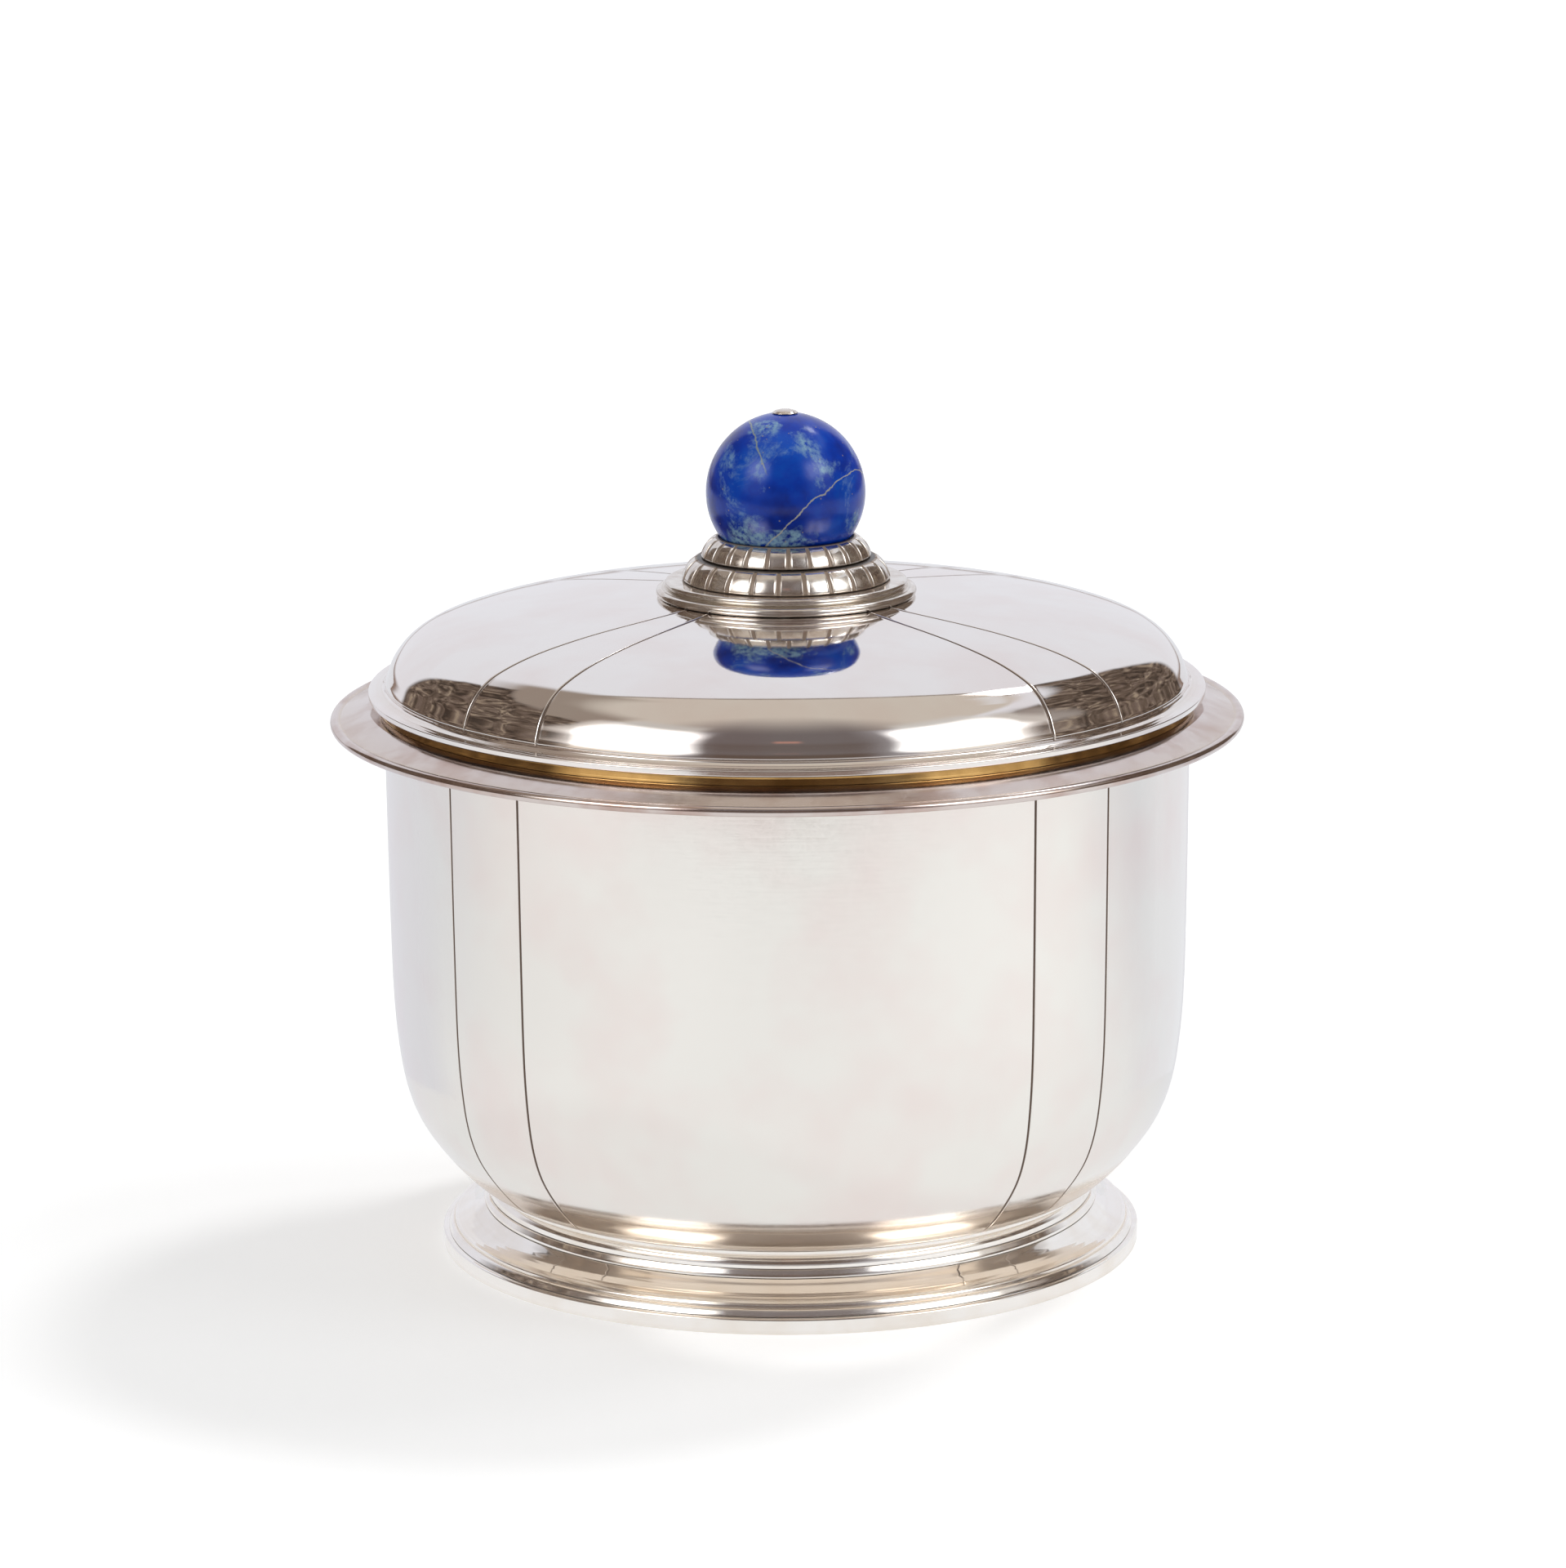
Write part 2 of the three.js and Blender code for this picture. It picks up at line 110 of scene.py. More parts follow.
lens = bpy.data.cameras.new("photo_camera")
lens.lens = LENS
lens.sensor_width = SENSOR
camera = new_object("photo_camera", lens)
turn = Matrix.Rotation(math.radians(CAMERA_TURN), 4, "Z")
tilt = Matrix.Rotation(math.radians(90 - CAMERA_DOWN), 4, "X")
roll = Matrix.Rotation(math.radians(CAMERA_ROLL), 4, "Z")
camera.matrix_world = Matrix.Translation(CAMERA_PLACE) @ turn @ tilt @ roll
bpy.context.scene.camera = camera
bpy.context.scene.view_settings.view_transform = "Standard"
print("lens", round(LENS, 1), "mm")


# %% [markdown]
# An outline is a list of points (radius, height) in millimetres, from the bottom up the outside. A third
# number rounds that corner, because no worn silver edge is sharp, and a rounded edge is what catches the
# light. Straight runs get an extra point near each end, so that smooth shading stays true on them.

# %% Outlines
def rounded(points, step=18):
    out = []
    last = len(points) - 1
    for i, point in enumerate(points):
        if len(point) < 3 or i in (0, last):
            out.append((point[0], point[1]))
            continue
        here = Vector(point[:2])
        back = Vector(points[i - 1][:2]) - here
        ahead = Vector(points[i + 1][:2]) - here
        half = back.angle(ahead) / 2
        reach = min(point[2] / math.tan(half), back.length * 0.49, ahead.length * 0.49)
        radius = reach * math.tan(half)
        centre = here + (back.normalized() + ahead.normalized()).normalized() * (radius / math.sin(half))
        first = here + back.normalized() * reach - centre
        final = here + ahead.normalized() * reach - centre
        sweep = first.angle_signed(final)
        count = max(2, math.ceil(abs(math.degrees(sweep)) / step))
        for k in range(count + 1):
            spoke = first.copy()
            spoke.rotate(Matrix.Rotation(-sweep * k / count, 2))
            out.append((centre.x + spoke.x, centre.y + spoke.y))
    return out


def smooth(points, count, fineness=24):
    # Catmull-Rom curve, evenly stepped along its length.
    knots = [Vector(p) for p in points]
    knots = [2 * knots[0] - knots[1]] + knots + [2 * knots[-1] - knots[-2]]
    fine = []
    for i in range(1, len(knots) - 2):
        a, b, c, d = knots[i - 1:i + 3]
        for k in range(fineness):
            t = k / fineness
            fine.append(0.5 * (2 * b + (c - a) * t + (2 * a - 5 * b + 4 * c - d) * t * t
                               + (3 * b - a - 3 * c + d) * t ** 3))
    fine.append(knots[-2])
    runs = [0.0]
    for a, b in zip(fine, fine[1:]):
        runs.append(runs[-1] + (b - a).length)
    out = []
    j = 0
    for k in range(count + 1):
        want = runs[-1] * k / count
        while j < len(runs) - 2 and runs[j + 1] < want:
            j += 1
        share = (want - runs[j]) / (runs[j + 1] - runs[j])
        out.append(tuple(fine[j].lerp(fine[j + 1], share)))
    return out


def supported(points, near=0.06):
    out = []
    for a, b in zip(points, points[1:] + points[:1]):
        out.append(a)
        run = math.dist(a, b)
        if run > 8 * near:
            for share in (near / run, 1 - near / run):
                out.append((a[0] + (b[0] - a[0]) * share, a[1] + (b[1] - a[1]) * share))
    return out


print("a rounded corner has", len(rounded([(1, 0), (2, 0, 0.2), (2, 1)])) - 2, "points")


# %% [markdown]
# A turned piece is its outline at many angles. Everything here is made from one function: it takes rows
# (the outline) and columns (the angles), and may move each point by a rule, for cuts and cushions. A row
# on the axis is a single point, so the middle of a turned bowl closes without a hole. Each point also notes
# how deep it lies in a cut and in a hollow, for the finish. Creases are heights at which a piece meets its
# neighbour; old polish stays there, as it does in cuts, and the mark there is also painted shade of the seam.

# %% Turned shapes
HOLLOW_REACH = 0.55
HOLLOW_DEEP = 0.3
# Near a crease the cut mark is raised, so the seam is darkened: painted shade, with old polish.
CREASE_SHADE = 0.7
CREASE_SHADE_FADE = 2.8


def point_along(rows, k, reach, step, loop):
    # The point this far along the outline from row k.
    here = rows[k]
    count = len(rows)
    while loop or 0 <= k + step < count:
        ahead = rows[(k + step) % count]
        run = math.dist(here, ahead)
        if run >= reach:
            share = reach / run
            return here[0] + (ahead[0] - here[0]) * share, here[1] + (ahead[1] - here[1]) * share
        reach -= run
        here = ahead
        k += step
    return here


def clamp(value):
    return min(1.0, max(0.0, value))


def hollows(rows, loop):
    # How far each point lies behind the line between its neighbours: tarnish stays in such hollows.
    out = []
    for k, (r, z) in enumerate(rows):
        a = point_along(rows, k, HOLLOW_REACH, -1, loop)
        b = point_along(rows, k, HOLLOW_REACH, 1, loop)
        run = math.dist(a, b) or 1.0
        depth = ((a[0] + b[0]) / 2 - r) * (b[1] - a[1]) / run - ((a[1] + b[1]) / 2 - z) * (b[0] - a[0]) / run
        out.append(clamp(depth / HOLLOW_DEEP))
    return out


def turned(name, rows, columns, finish=None, closed_round=True, loop=True, shift=None, gilt=None,
           shaded_creases=()):
    points = []
    cut_and_seam_shade = []
    shelter = []
    depth_of = hollows(rows, loop)
    grid = []
    for k, (r, z) in enumerate(rows):
        if r < 1e-6:
            grid.append([len(points)] * len(columns))
            points.append((0, 0, z * MM))
            cut_and_seam_shade.append(0.0)
            shelter.append(0.0)
            continue
        line = []
        for c, column in enumerate(columns):
            angle, push = column(r) if callable(column) else (column, 0.0)
            rr, zz = (r, z) if shift is None else shift(k, r, z, angle, push)
            line.append(len(points))
            a = math.radians(angle)
            points.append((rr * math.sin(a) * MM, -rr * math.cos(a) * MM, zz * MM))
            # Near a crease the mark gets painted shade of the seam, with old polish, on top of any real cut.
            near = min([abs(z - height) for height in shaded_creases] or [1.0])
            cut = math.dist((r, z), (rr, zz)) if push > 0 else 0.0
            cut_and_seam_shade.append(cut + max(0.0, CREASE_SHADE - near * CREASE_SHADE_FADE))
            shelter.append(depth_of[k])
        grid.append(line)
    faces = []
    marks = []
    wide = len(columns) if closed_round else len(columns) - 1
    tall = len(rows) if loop else len(rows) - 1
    for k in range(tall):
        low, high = grid[k], grid[(k + 1) % len(rows)]
        for c in range(wide):
            d = (c + 1) % len(columns)
            corners = list(dict.fromkeys((low[c], low[d], high[d], high[c])))
            if len(corners) > 2:
                faces.append(corners)
                marks.append(bool(gilt and gilt(k)))
    mesh = bpy.data.meshes.new(name)
    mesh.from_pydata(points, [], faces)
    mesh.shade_smooth()
    mesh.attributes.new("gilt", "BOOLEAN", "FACE").data.foreach_set("value", marks)
    mesh.attributes.new("cut_and_seam_shade_mm", "FLOAT", "POINT").data.foreach_set("value", cut_and_seam_shade)
    mesh.attributes.new("hollow", "FLOAT", "POINT").data.foreach_set("value", shelter)
    mesh.validate()
    if finish:
        mesh.materials.append(finish)
    print(name, "has", len(mesh.polygons), "faces")
    return new_object(name, mesh)


def around(count):
    return [360 * k / count for k in range(count)]


print("four columns stand at", around(4))


# %% [markdown]
# What repeats round the axis is made once and copied by Geometry Nodes: one cushion of a knob ring, or one
# quarter of the bowl with its pair of engraved lines. The tree sets copies of a slice on one point, each
# turned a step further, makes them real and joins the seams. A second finish goes where the slice is
# marked as gilt.

# %% A tree that copies a slice round the axis
def copies_tree():
    tree = bpy.data.node_groups.new("copies_round_the_axis", "GeometryNodeTree")
    for name, kind in (("Slice", "Geometry"), ("Copies", "Int"), ("Turn", "Float"), ("Finish", "Material"),
                       ("Gilt finish", "Material")):
        tree.interface.new_socket(name, in_out="INPUT", socket_type="NodeSocket" + kind)
    tree.interface.new_socket("Geometry", in_out="OUTPUT", socket_type="NodeSocketGeometry")
    given = add_node(tree, "NodeGroupInput").outputs
    line = add_node(tree, "GeometryNodeMeshLine", {"Count": given["Copies"], "Offset": (0, 0, 0)})
    index = add_node(tree, "GeometryNodeInputIndex")
    step = add_node(tree, MATH, {0: math.tau, 1: given["Copies"]}, operation="DIVIDE")
    angle = add_node(tree, MATH, {0: index, 1: step, 2: given["Turn"]}, operation="MULTIPLY_ADD")
    euler = add_node(tree, "ShaderNodeCombineXYZ", {"Z": angle})
    spin = add_node(tree, "FunctionNodeEulerToRotation", {0: euler})
    copies = add_node(tree, "GeometryNodeInstanceOnPoints", {
        "Points": line, "Instance": given["Slice"], "Rotation": spin})
    real = add_node(tree, "GeometryNodeRealizeInstances", {0: copies})
    joined = add_node(tree, "GeometryNodeMergeByDistance", {"Geometry": real, "Distance": 2e-6})
    finish = add_node(tree, "GeometryNodeSetMaterial", {"Geometry": joined, "Material": given["Finish"]})
    marked = add_node(tree, "GeometryNodeInputNamedAttribute", {"Name": "gilt"}, data_type="BOOLEAN")
    second = add_node(tree, "GeometryNodeSetMaterial", {
        "Geometry": finish, "Selection": marked, "Material": given["Gilt finish"]})
    add_node(tree, "NodeGroupOutput", {0: second})
    return tree


COPIES = copies_tree()
print(COPIES.name, "has", len(COPIES.nodes), "nodes")


def copied_round(slice_object, name, copies, turn, finish, gilt_finish):
    modifier = slice_object.modifiers.new("copies", "NODES")
    modifier.node_group = COPIES
    values = {"Copies": copies, "Turn": math.radians(turn), "Finish": finish, "Gilt finish": gilt_finish}
    for socket in COPIES.interface.items_tree:
        if socket.name in values:
            modifier[socket.identifier] = values[socket.name]
    whole = slice_object.evaluated_get(bpy.context.evaluated_depsgraph_get())
    mesh = bpy.data.meshes.new_from_object(whole)
    slice_object.modifiers.remove(modifier)
    bpy.data.objects.remove(slice_object)
    mesh.name = name
    print(name, "has", len(mesh.polygons), "faces")
    return new_object(name, mesh)


# %% [markdown]
# Sterling silver, machine polished, then hand rubbed for decades. Up close it is covered by hair-fine
# scratches, mostly round the axis, and has a faint pinkish bloom of tarnish. Silver reflects about 95% of
# red and green and a little less blue, so light that bounces between two pieces turns warmer each time,
# as it does in the mouldings of the foot. It is a metal, so the colour is that of its reflections.

# %% Sterling silver
def silver(name, clean, tarnish, cloud_mm, cloud_share, rough, scratch,
           cut_colour="#614A38", film="#DCCDBB", film_below=0.0, haze=0.04):
    material = bpy.data.materials.new(name)
    tree = emptied_tree(material)
    place = add_node(tree, "ShaderNodeTexCoord").outputs["Object"]
    # Clouds of tarnish, cloud_mm across.
    clouds = add_node(tree, "ShaderNodeTexNoise", {
        "Vector": place, "Scale": 1000 / cloud_mm, "Detail": 3.0, "Roughness": 0.55})
    tint = add_node(tree, MAP_RANGE, {
        "Value": clouds, "From Min": 0.42, "From Max": 0.68, "To Max": cloud_share})
    # Hair scratches that run round the axis: a pattern squeezed in height and stretched round it.
    x, y, z = add_node(tree, "ShaderNodeSeparateXYZ", {0: place}).outputs
    angle = add_node(tree, MATH, {0: x, 1: y}, operation="ARCTAN2")
    radius = add_node(tree, "ShaderNodeVectorMath", {0: place}, operation="LENGTH")
    along = add_node(tree, MATH, {0: angle}, operation="ABSOLUTE")
    hair_place = add_node(tree, "ShaderNodeCombineXYZ", {"X": along, "Y": radius, "Z": z})
    hair_scale = add_node(tree, "ShaderNodeVectorMath", {
        0: hair_place, 1: (9.0, 2500.0, 2500.0)}, operation="MULTIPLY")
    # 0.4 mm apart, several times coarser than real polishing lines, so that they show.
    hair = add_node(tree, "ShaderNodeTexNoise", {
        "Vector": hair_scale, "Scale": 1.0, "Detail": 4.0, "Roughness": 0.7})
    # Stray marks of use in every direction.
    strays = add_node(tree, "ShaderNodeTexNoise", {
        "Vector": place, "Scale": 1000 / 1.3, "Detail": 5.0, "Roughness": 0.75, "Distortion": 1.2})
    marks = add_node(tree, MATH, {0: hair, 1: strays}, operation="MULTIPLY")
    gloss = add_node(tree, MAP_RANGE, {
        "Value": marks, "From Min": 0.15, "From Max": 0.4, "To Min": rough * 0.75, "To Max": rough * 1.35})
    shade = add_node(tree, MIX, {"Factor": tint, "A": linear(clean), "B": linear(tarnish)}, **COLOUR)
    bump = add_node(tree, "ShaderNodeBump", {"Strength": scratch, "Distance": 0.00002, "Height": marks})
    # Cuts hold dark tarnish and old polish. At creases the same mark is painted shade of the seam.
    cut = add_node(tree, "ShaderNodeAttribute", attribute_name="cut_and_seam_shade_mm")
    dirt_and_seam_shade = add_node(tree, MAP_RANGE, {
        "Value": cut.outputs["Fac"], "From Min": 0.0, "From Max": 0.09, "To Max": 0.97})
    # Hollows between mouldings, and the underside that no cloth reaches, keep a tan film.
    shut = add_node(tree, "ShaderNodeAttribute", attribute_name="hollow")
    under = add_node(tree, MAP_RANGE, {
        "Value": z, "From Min": film_below + 0.001, "From Max": film_below - 0.002, "To Max": 0.8})
    kept = add_node(tree, MATH, {0: shut.outputs["Fac"], 1: under}, operation="MAXIMUM")
    filmed = add_node(tree, MIX, {"Factor": kept, "A": shade, "B": linear(film)}, **COLOUR)
    # Only crease marks reach this deep: the near black is painted shade of the seam, with old polish.
    deep_cut_and_seam_shade = add_node(tree, MAP_RANGE, {"Value": cut.outputs["Fac"], "From Min": 0.3, "From Max": 0.5})
    polish = add_node(tree, MIX, {
        "Factor": deep_cut_and_seam_shade, "A": linear(cut_colour), "B": linear("#2E2621")}, **COLOUR)
    soiled = add_node(tree, MIX, {"Factor": dirt_and_seam_shade, "A": filmed, "B": polish}, **COLOUR)
    metal = add_node(tree, MAP_RANGE, {"Value": dirt_and_seam_shade, "To Min": 1.0, "To Max": 0.1})
    dull = add_node(tree, MATH, {0: dirt_and_seam_shade, 1: 0.25, 2: gloss}, operation="MULTIPLY_ADD")
    surface = add_node(tree, "ShaderNodeBsdfPrincipled", {
        "Base Color": soiled, "Metallic": metal, "Roughness": dull, "Normal": bump})
    uncut = add_node(tree, MATH, {0: 1.0, 1: dirt_and_seam_shade}, operation="SUBTRACT")
    # Countless finer scratches spread a small share of the light widely, like haze on glass; film adds to it.
    worn = add_node(tree, "ShaderNodeBsdfPrincipled", {
        "Base Color": soiled, "Metallic": 1.0, "Roughness": 0.5})
    spread = add_node(tree, MATH, {0: kept, 1: 0.3, 2: haze}, operation="MULTIPLY_ADD")
    clear = add_node(tree, MATH, {0: spread, 1: uncut}, operation="MULTIPLY")
    hazy = add_node(tree, "ShaderNodeMixShader", {0: clear, 1: surface, 2: worn})
    add_node(tree, "ShaderNodeOutputMaterial", {0: hazy})
    return material


SILVER_BODY = silver("sterling_silver_satin_polish", "#EFEDE8", "#EDE2DE", 26, 0.8, 0.12, 0.20,
                     film="#F2E2CE", film_below=0.0205)
SILVER_LID = silver("sterling_silver_bright_polish", "#EFECE9", "#EBE2DE", 18, 0.8, 0.05, 0.08, haze=0.01)
SILVER_RIM = silver("sterling_silver_rubbed_rim", "#D8CECA", "#BEA69C", 11, 0.9, 0.11, 0.25, haze=0.05)
SILVER_FOOT = silver("sterling_silver_foot_mouldings", "#FBF8F4", "#F3ECE3", 12, 0.9, 0.05, 0.08,
                     film="#F0E4D4", haze=0.10)
SILVER_KNOB = silver("sterling_silver_chased_rings", "#EAE6E0", "#D2C6BC", 3, 0.8, 0.11, 0.35,
                     cut_colour="#94806F", film="#CFC6BA", haze=0.15)
GILT = silver("gilt_silver", "#D3AE72", "#A9854F", 9, 0.9, 0.10, 0.15, haze=0.12)
print("finishes:", [m.name for m in (SILVER_BODY, SILVER_LID, SILVER_RIM, SILVER_FOOT, SILVER_KNOB, GILT)])


# %% [markdown]
# Lapis lazuli is a rock: deep blue lazurite, clouded with white calcite and crossed by a few pale veins,
# with specks of brassy pyrite. Turned and polished, it keeps a soft waxy gloss with tiny pits where the
# softer calcite has worn. Its index of refraction is about 1.5.

# %% Lapis lazuli
BALL_RADIUS = 15.0
BALL_Z = 144.63
VEINS = [
    # the sheet's direction, its distance from the ball's middle, half its width, lowest height, colour
    ((0.652, -0.278, -0.706), 0.0069, 0.00017, -0.020, "#B9B7A0"),
    ((0.917, 0.0, 0.399), -0.0007, 0.00022, 0.0052, "#8E9A90"),
]
VEIN_BEND = 0.003
CLOUDS = [
    # where pale calcite gathers, from the ball's middle, how far it spreads, and how thick it is
    ((-0.006, -0.010, -0.009), 0.013, 0.30),
    ((0.001, -0.012, -0.008), 0.006, 0.22),
    ((0.005, -0.009, 0.011), 0.004, 0.03),
    ((0.012, -0.007, -0.004), 0.005, 0.16),
    ((-0.004, -0.006, 0.013), 0.005, 0.18),
]


def lapis():
    material = bpy.data.materials.new("lapis_lazuli_polished")
    tree = emptied_tree(material)
    place = add_node(tree, "ShaderNodeTexCoord").outputs["Object"]
    centred = add_node(tree, "ShaderNodeMapping", {"Vector": place, "Location": (0, 0, -BALL_Z * MM)})
    stone = add_node(tree, "ShaderNodeMapping", {"Vector": centred, "Rotation": (0.3, 0.5, 0.9)})
    depth = add_node(tree, "ShaderNodeTexNoise", {
        "Vector": stone, "Scale": 1000 / 14, "Detail": 5.0, "Roughness": 0.6})
    blues = add_node(tree, "ShaderNodeValToRGB", {0: depth})
    ramp = blues.color_ramp.elements
    ramp[0].position = 0.34
    ramp[0].color = linear("#00207C")
    ramp[1].position = 0.66
    ramp[1].color = linear("#0052C0")
    ramp.new(0.5).color = linear("#0039AC")
    # Calcite clouds, broken up by grain of about a millimetre.
    cloud = add_node(tree, "ShaderNodeTexNoise", {
        "Vector": stone, "Scale": 1000 / 11, "Detail": 8.0, "Roughness": 0.66, "Distortion": 0.6})
    gathered = cloud
    for spot, spread, gain in CLOUDS:
        off = add_node(tree, "ShaderNodeVectorMath", {0: centred, 1: spot}, operation="DISTANCE")
        near = add_node(tree, MAP_RANGE, {
            "Value": off, "From Min": spread, "From Max": 0.0, "To Max": gain}, **SMOOTH)
        gathered = add_node(tree, MATH, {0: gathered, 1: near}, operation="ADD")
    cloudy = add_node(tree, MAP_RANGE, {
        "Value": gathered, "From Min": 0.55, "From Max": 0.68, "To Max": 0.85})
    grain = add_node(tree, "ShaderNodeTexNoise", {
        "Vector": stone, "Scale": 1000 / 1.1, "Detail": 4.0, "Roughness": 0.65})
    grainy = add_node(tree, MAP_RANGE, {"Value": grain, "From Min": 0.36, "From Max": 0.60})
    calcite = add_node(tree, MATH, {0: cloudy, 1: grainy}, operation="MULTIPLY")
    clouded = add_node(tree, MIX, {"Factor": calcite, "A": blues, "B": linear("#8DB4C8")}, **COLOUR)
    # Veins lie in two flat sheets through the stone, bent a little, and fade out at their lower ends.
    bend = add_node(tree, "ShaderNodeTexNoise", {
        "Vector": stone, "Scale": 1000 / 7, "Detail": 5.0, "Roughness": 0.6})
    height = add_node(tree, "ShaderNodeSeparateXYZ", {0: centred}).outputs["Z"]
    veined = clouded
    for sheet, offset, width, lowest, colour in VEINS:
        fade = add_node(tree, MAP_RANGE, {"Value": height, "From Min": lowest, "From Max": lowest + 0.002})
        along = add_node(tree, "ShaderNodeVectorMath", {0: centred, 1: sheet}, operation="DOT_PRODUCT")
        bent = add_node(tree, MATH, {0: bend, 1: VEIN_BEND, 2: along}, operation="MULTIPLY_ADD")
        off = add_node(tree, MATH, {0: bent, 1: offset + VEIN_BEND / 2}, operation="SUBTRACT")
        away = add_node(tree, MATH, {0: off}, operation="ABSOLUTE")
        line = add_node(tree, MAP_RANGE, {
            "Value": away, "From Min": width * 0.3, "From Max": width, "To Min": 0.85, "To Max": 0.0})
        vein = add_node(tree, MATH, {0: line, 1: fade}, operation="MULTIPLY")
        veined = add_node(tree, MIX, {"Factor": vein, "A": veined, "B": linear(colour)}, **COLOUR)
    # Pyrite specks, about 0.3 mm.
    specks = add_node(tree, "ShaderNodeTexVoronoi", {"Vector": stone, "Scale": 1000 / 2.2, "Randomness": 1.0})
    speck = add_node(tree, MAP_RANGE, {
        "Value": specks, "From Min": 0.05, "From Max": 0.09, "To Min": 0.6, "To Max": 0.0})
    colour = add_node(tree, MIX, {"Factor": speck, "A": veined, "B": linear("#A99A5E")}, **COLOUR)
    rough = add_node(tree, MAP_RANGE, {
        "Value": grain, "From Min": 0.3, "From Max": 0.7, "To Min": 0.13, "To Max": 0.22})
    pits = add_node(tree, MIX, {"Factor": 0.35, "A": grain, "B": vein}, data_type="FLOAT")
    bump = add_node(tree, "ShaderNodeBump", {"Strength": 0.5, "Distance": 0.00005, "Height": pits})
    surface = add_node(tree, "ShaderNodeBsdfPrincipled", {
        "Base Color": colour, "Roughness": rough, "Specular IOR Level": 0.33, "Normal": bump})
    add_node(tree, "ShaderNodeOutputMaterial", {0: surface})
    return material


LAPIS = lapis()
print("stone:", LAPIS.name)


# %% [markdown]
# The foot is one casting in real life, turned to four mouldings: a flat-edged band, a hollow flare, a thin
# wire and a small neck. They are separate pieces here, each closed, and they meet without a gap that shows.

# %% Foot
foot_pieces = {
    "foot_base_band": [
        (63.2, 0.0, 0.2), (66.8, 0.0, 0.18), (66.8, 2.72, 0.16), (66.5, 2.93, 0.12), (65.9, 2.98, 0.05),
        (63.2, 2.98, 0.2)],
    "foot_flare": [
        (59.9, 3.05), (65.78, 3.05, 0.04), (65.66, 3.31, 0.3), (65.35, 3.84, 0.5), (65.13, 4.13, 0.15),
        (64.8, 4.27, 0.06), (64.6, 4.3, 0.05), (64.52, 4.8, 0.05), (64.42, 4.96, 0.05), (63.8, 5.05, 0.8),
        (62.9, 5.33, 2.0), (61.9, 5.81, 3.0), (60.96, 6.36, 4.0), (60.0, 7.17, 9.0), (59.3, 7.85, 6.0),
        (58.92, 8.22, 0.05), (56.8, 8.26)],
    "foot_wire": [
        (56.4, 8.32), (58.85, 8.32, 0.08), (58.9, 8.5, 0.3), (58.8, 8.95, 0.5), (58.36, 9.74, 0.06),
        (58.05, 9.82, 0.05), (56.4, 9.84)],
    "foot_neck": [
        (54.6, 9.9), (57.98, 9.9, 0.05), (57.98, 10.25, 0.4), (57.9, 10.85, 1.0), (57.72, 11.3, 0.8),
        (57.35, 11.76, 0.3), (57.1, 12.05, 0.1), (57.15, 12.55, 0.1), (57.9, 12.78, 0.1),
        (58.75, 12.82, 0.06), (58.75, 13.42, 0.06), (54.6, 13.42)],
}
for name, points in foot_pieces.items():
    piece = turned(name + "_fine", supported(rounded(points)), around(288), SILVER_FOOT)
    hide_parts(name)
    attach(piece, "box")


# %% [markdown]
# The bowl and the lid carry four pairs of engraved lines. A graver leaves a narrow V with slightly raised,
# rubbed edges. A quarter of the bowl is made with one pair: its columns stand close together near the two
# lines, a fixed number of millimetres from each line at every height, and are pushed in by the cut's
# depth. Elsewhere a column every degree and a half is enough. The pairs on the lid stand a little further
# round than those on the bowl, because the lid can be set down at any turn.

# %% Columns with a pair of engraved lines
LINE_PAIR = 14.2
BOWL_TURN = 43.0
LID_TURN = 46.4
HALF_CUT = [0.05, 0.14, 0.22, 0.3, 0.4, 0.5, 0.7, 1.1]
CUT_STEPS = [-step for step in reversed(HALF_CUT)] + HALF_CUT
CUT_DEPTH = 0.24
CUT_WIDTH = 0.18
LIP_HEIGHT = 0.018
LIP_AT = 0.42
LIP_WIDTH = 0.12


def cut_depth(offset):
    trough = CUT_DEPTH * math.exp(-(abs(offset) / CUT_WIDTH) ** 2.2)
    lip = LIP_HEIGHT * math.exp(-((abs(offset) - LIP_AT) / LIP_WIDTH) ** 2)
    return trough - lip


def pair_columns(smallest_radius, spacing=1.5):
    keep_off = math.degrees((CUT_STEPS[-1] + 0.5) / smallest_radius)
    columns = []
    count = round(90 / spacing)
    for k in range(count + 1):
        angle = -45 + 90 * k / count
        if min(abs(angle - LINE_PAIR / 2), abs(angle + LINE_PAIR / 2)) > keep_off:
            columns.append((angle, lambda r, a=angle: (a, 0.0)))
    for line in (-LINE_PAIR / 2, LINE_PAIR / 2):
        for offset in CUT_STEPS:
            def column(r, line=line, offset=offset):
                return line + math.degrees(offset / max(r, smallest_radius)), cut_depth(offset)
            columns.append((line + math.degrees(offset / smallest_radius), column))
    return [c[1] for c in sorted(columns, key=lambda c: c[0])]


print("a quarter of the bowl has", len(pair_columns(56)), "columns")


# %% [markdown]
# The bowl: a nearly upright wall that turns in to the foot in one full curve, like a deep cup. It is spun
# from sheet about 0.9 mm thick, and its inside is gilt, as silver for food often is.

# %% Bowl
BOWL_WALL = 0.9
LINES_FROM = 13.7
LINES_FADE = 1.5
TURN_IN_FROM = 12
TURN_IN_OVER = 14
bowl_side = smooth([
    (58.75, 13.62), (59.9, 13.85), (61.2, 14.55), (62.9, 15.95), (64.9, 17.95), (66.75, 20.05),
    (69.1, 23.1), (71.1, 26.3), (72.6, 29.8), (73.75, 34.0), (74.55, 39.0), (75.2, 45.5), (75.56, 53.0),
    (75.77, 63.4), (75.94, 75.8), (76.06, 88.1), (76.2, 101.2)], 92)


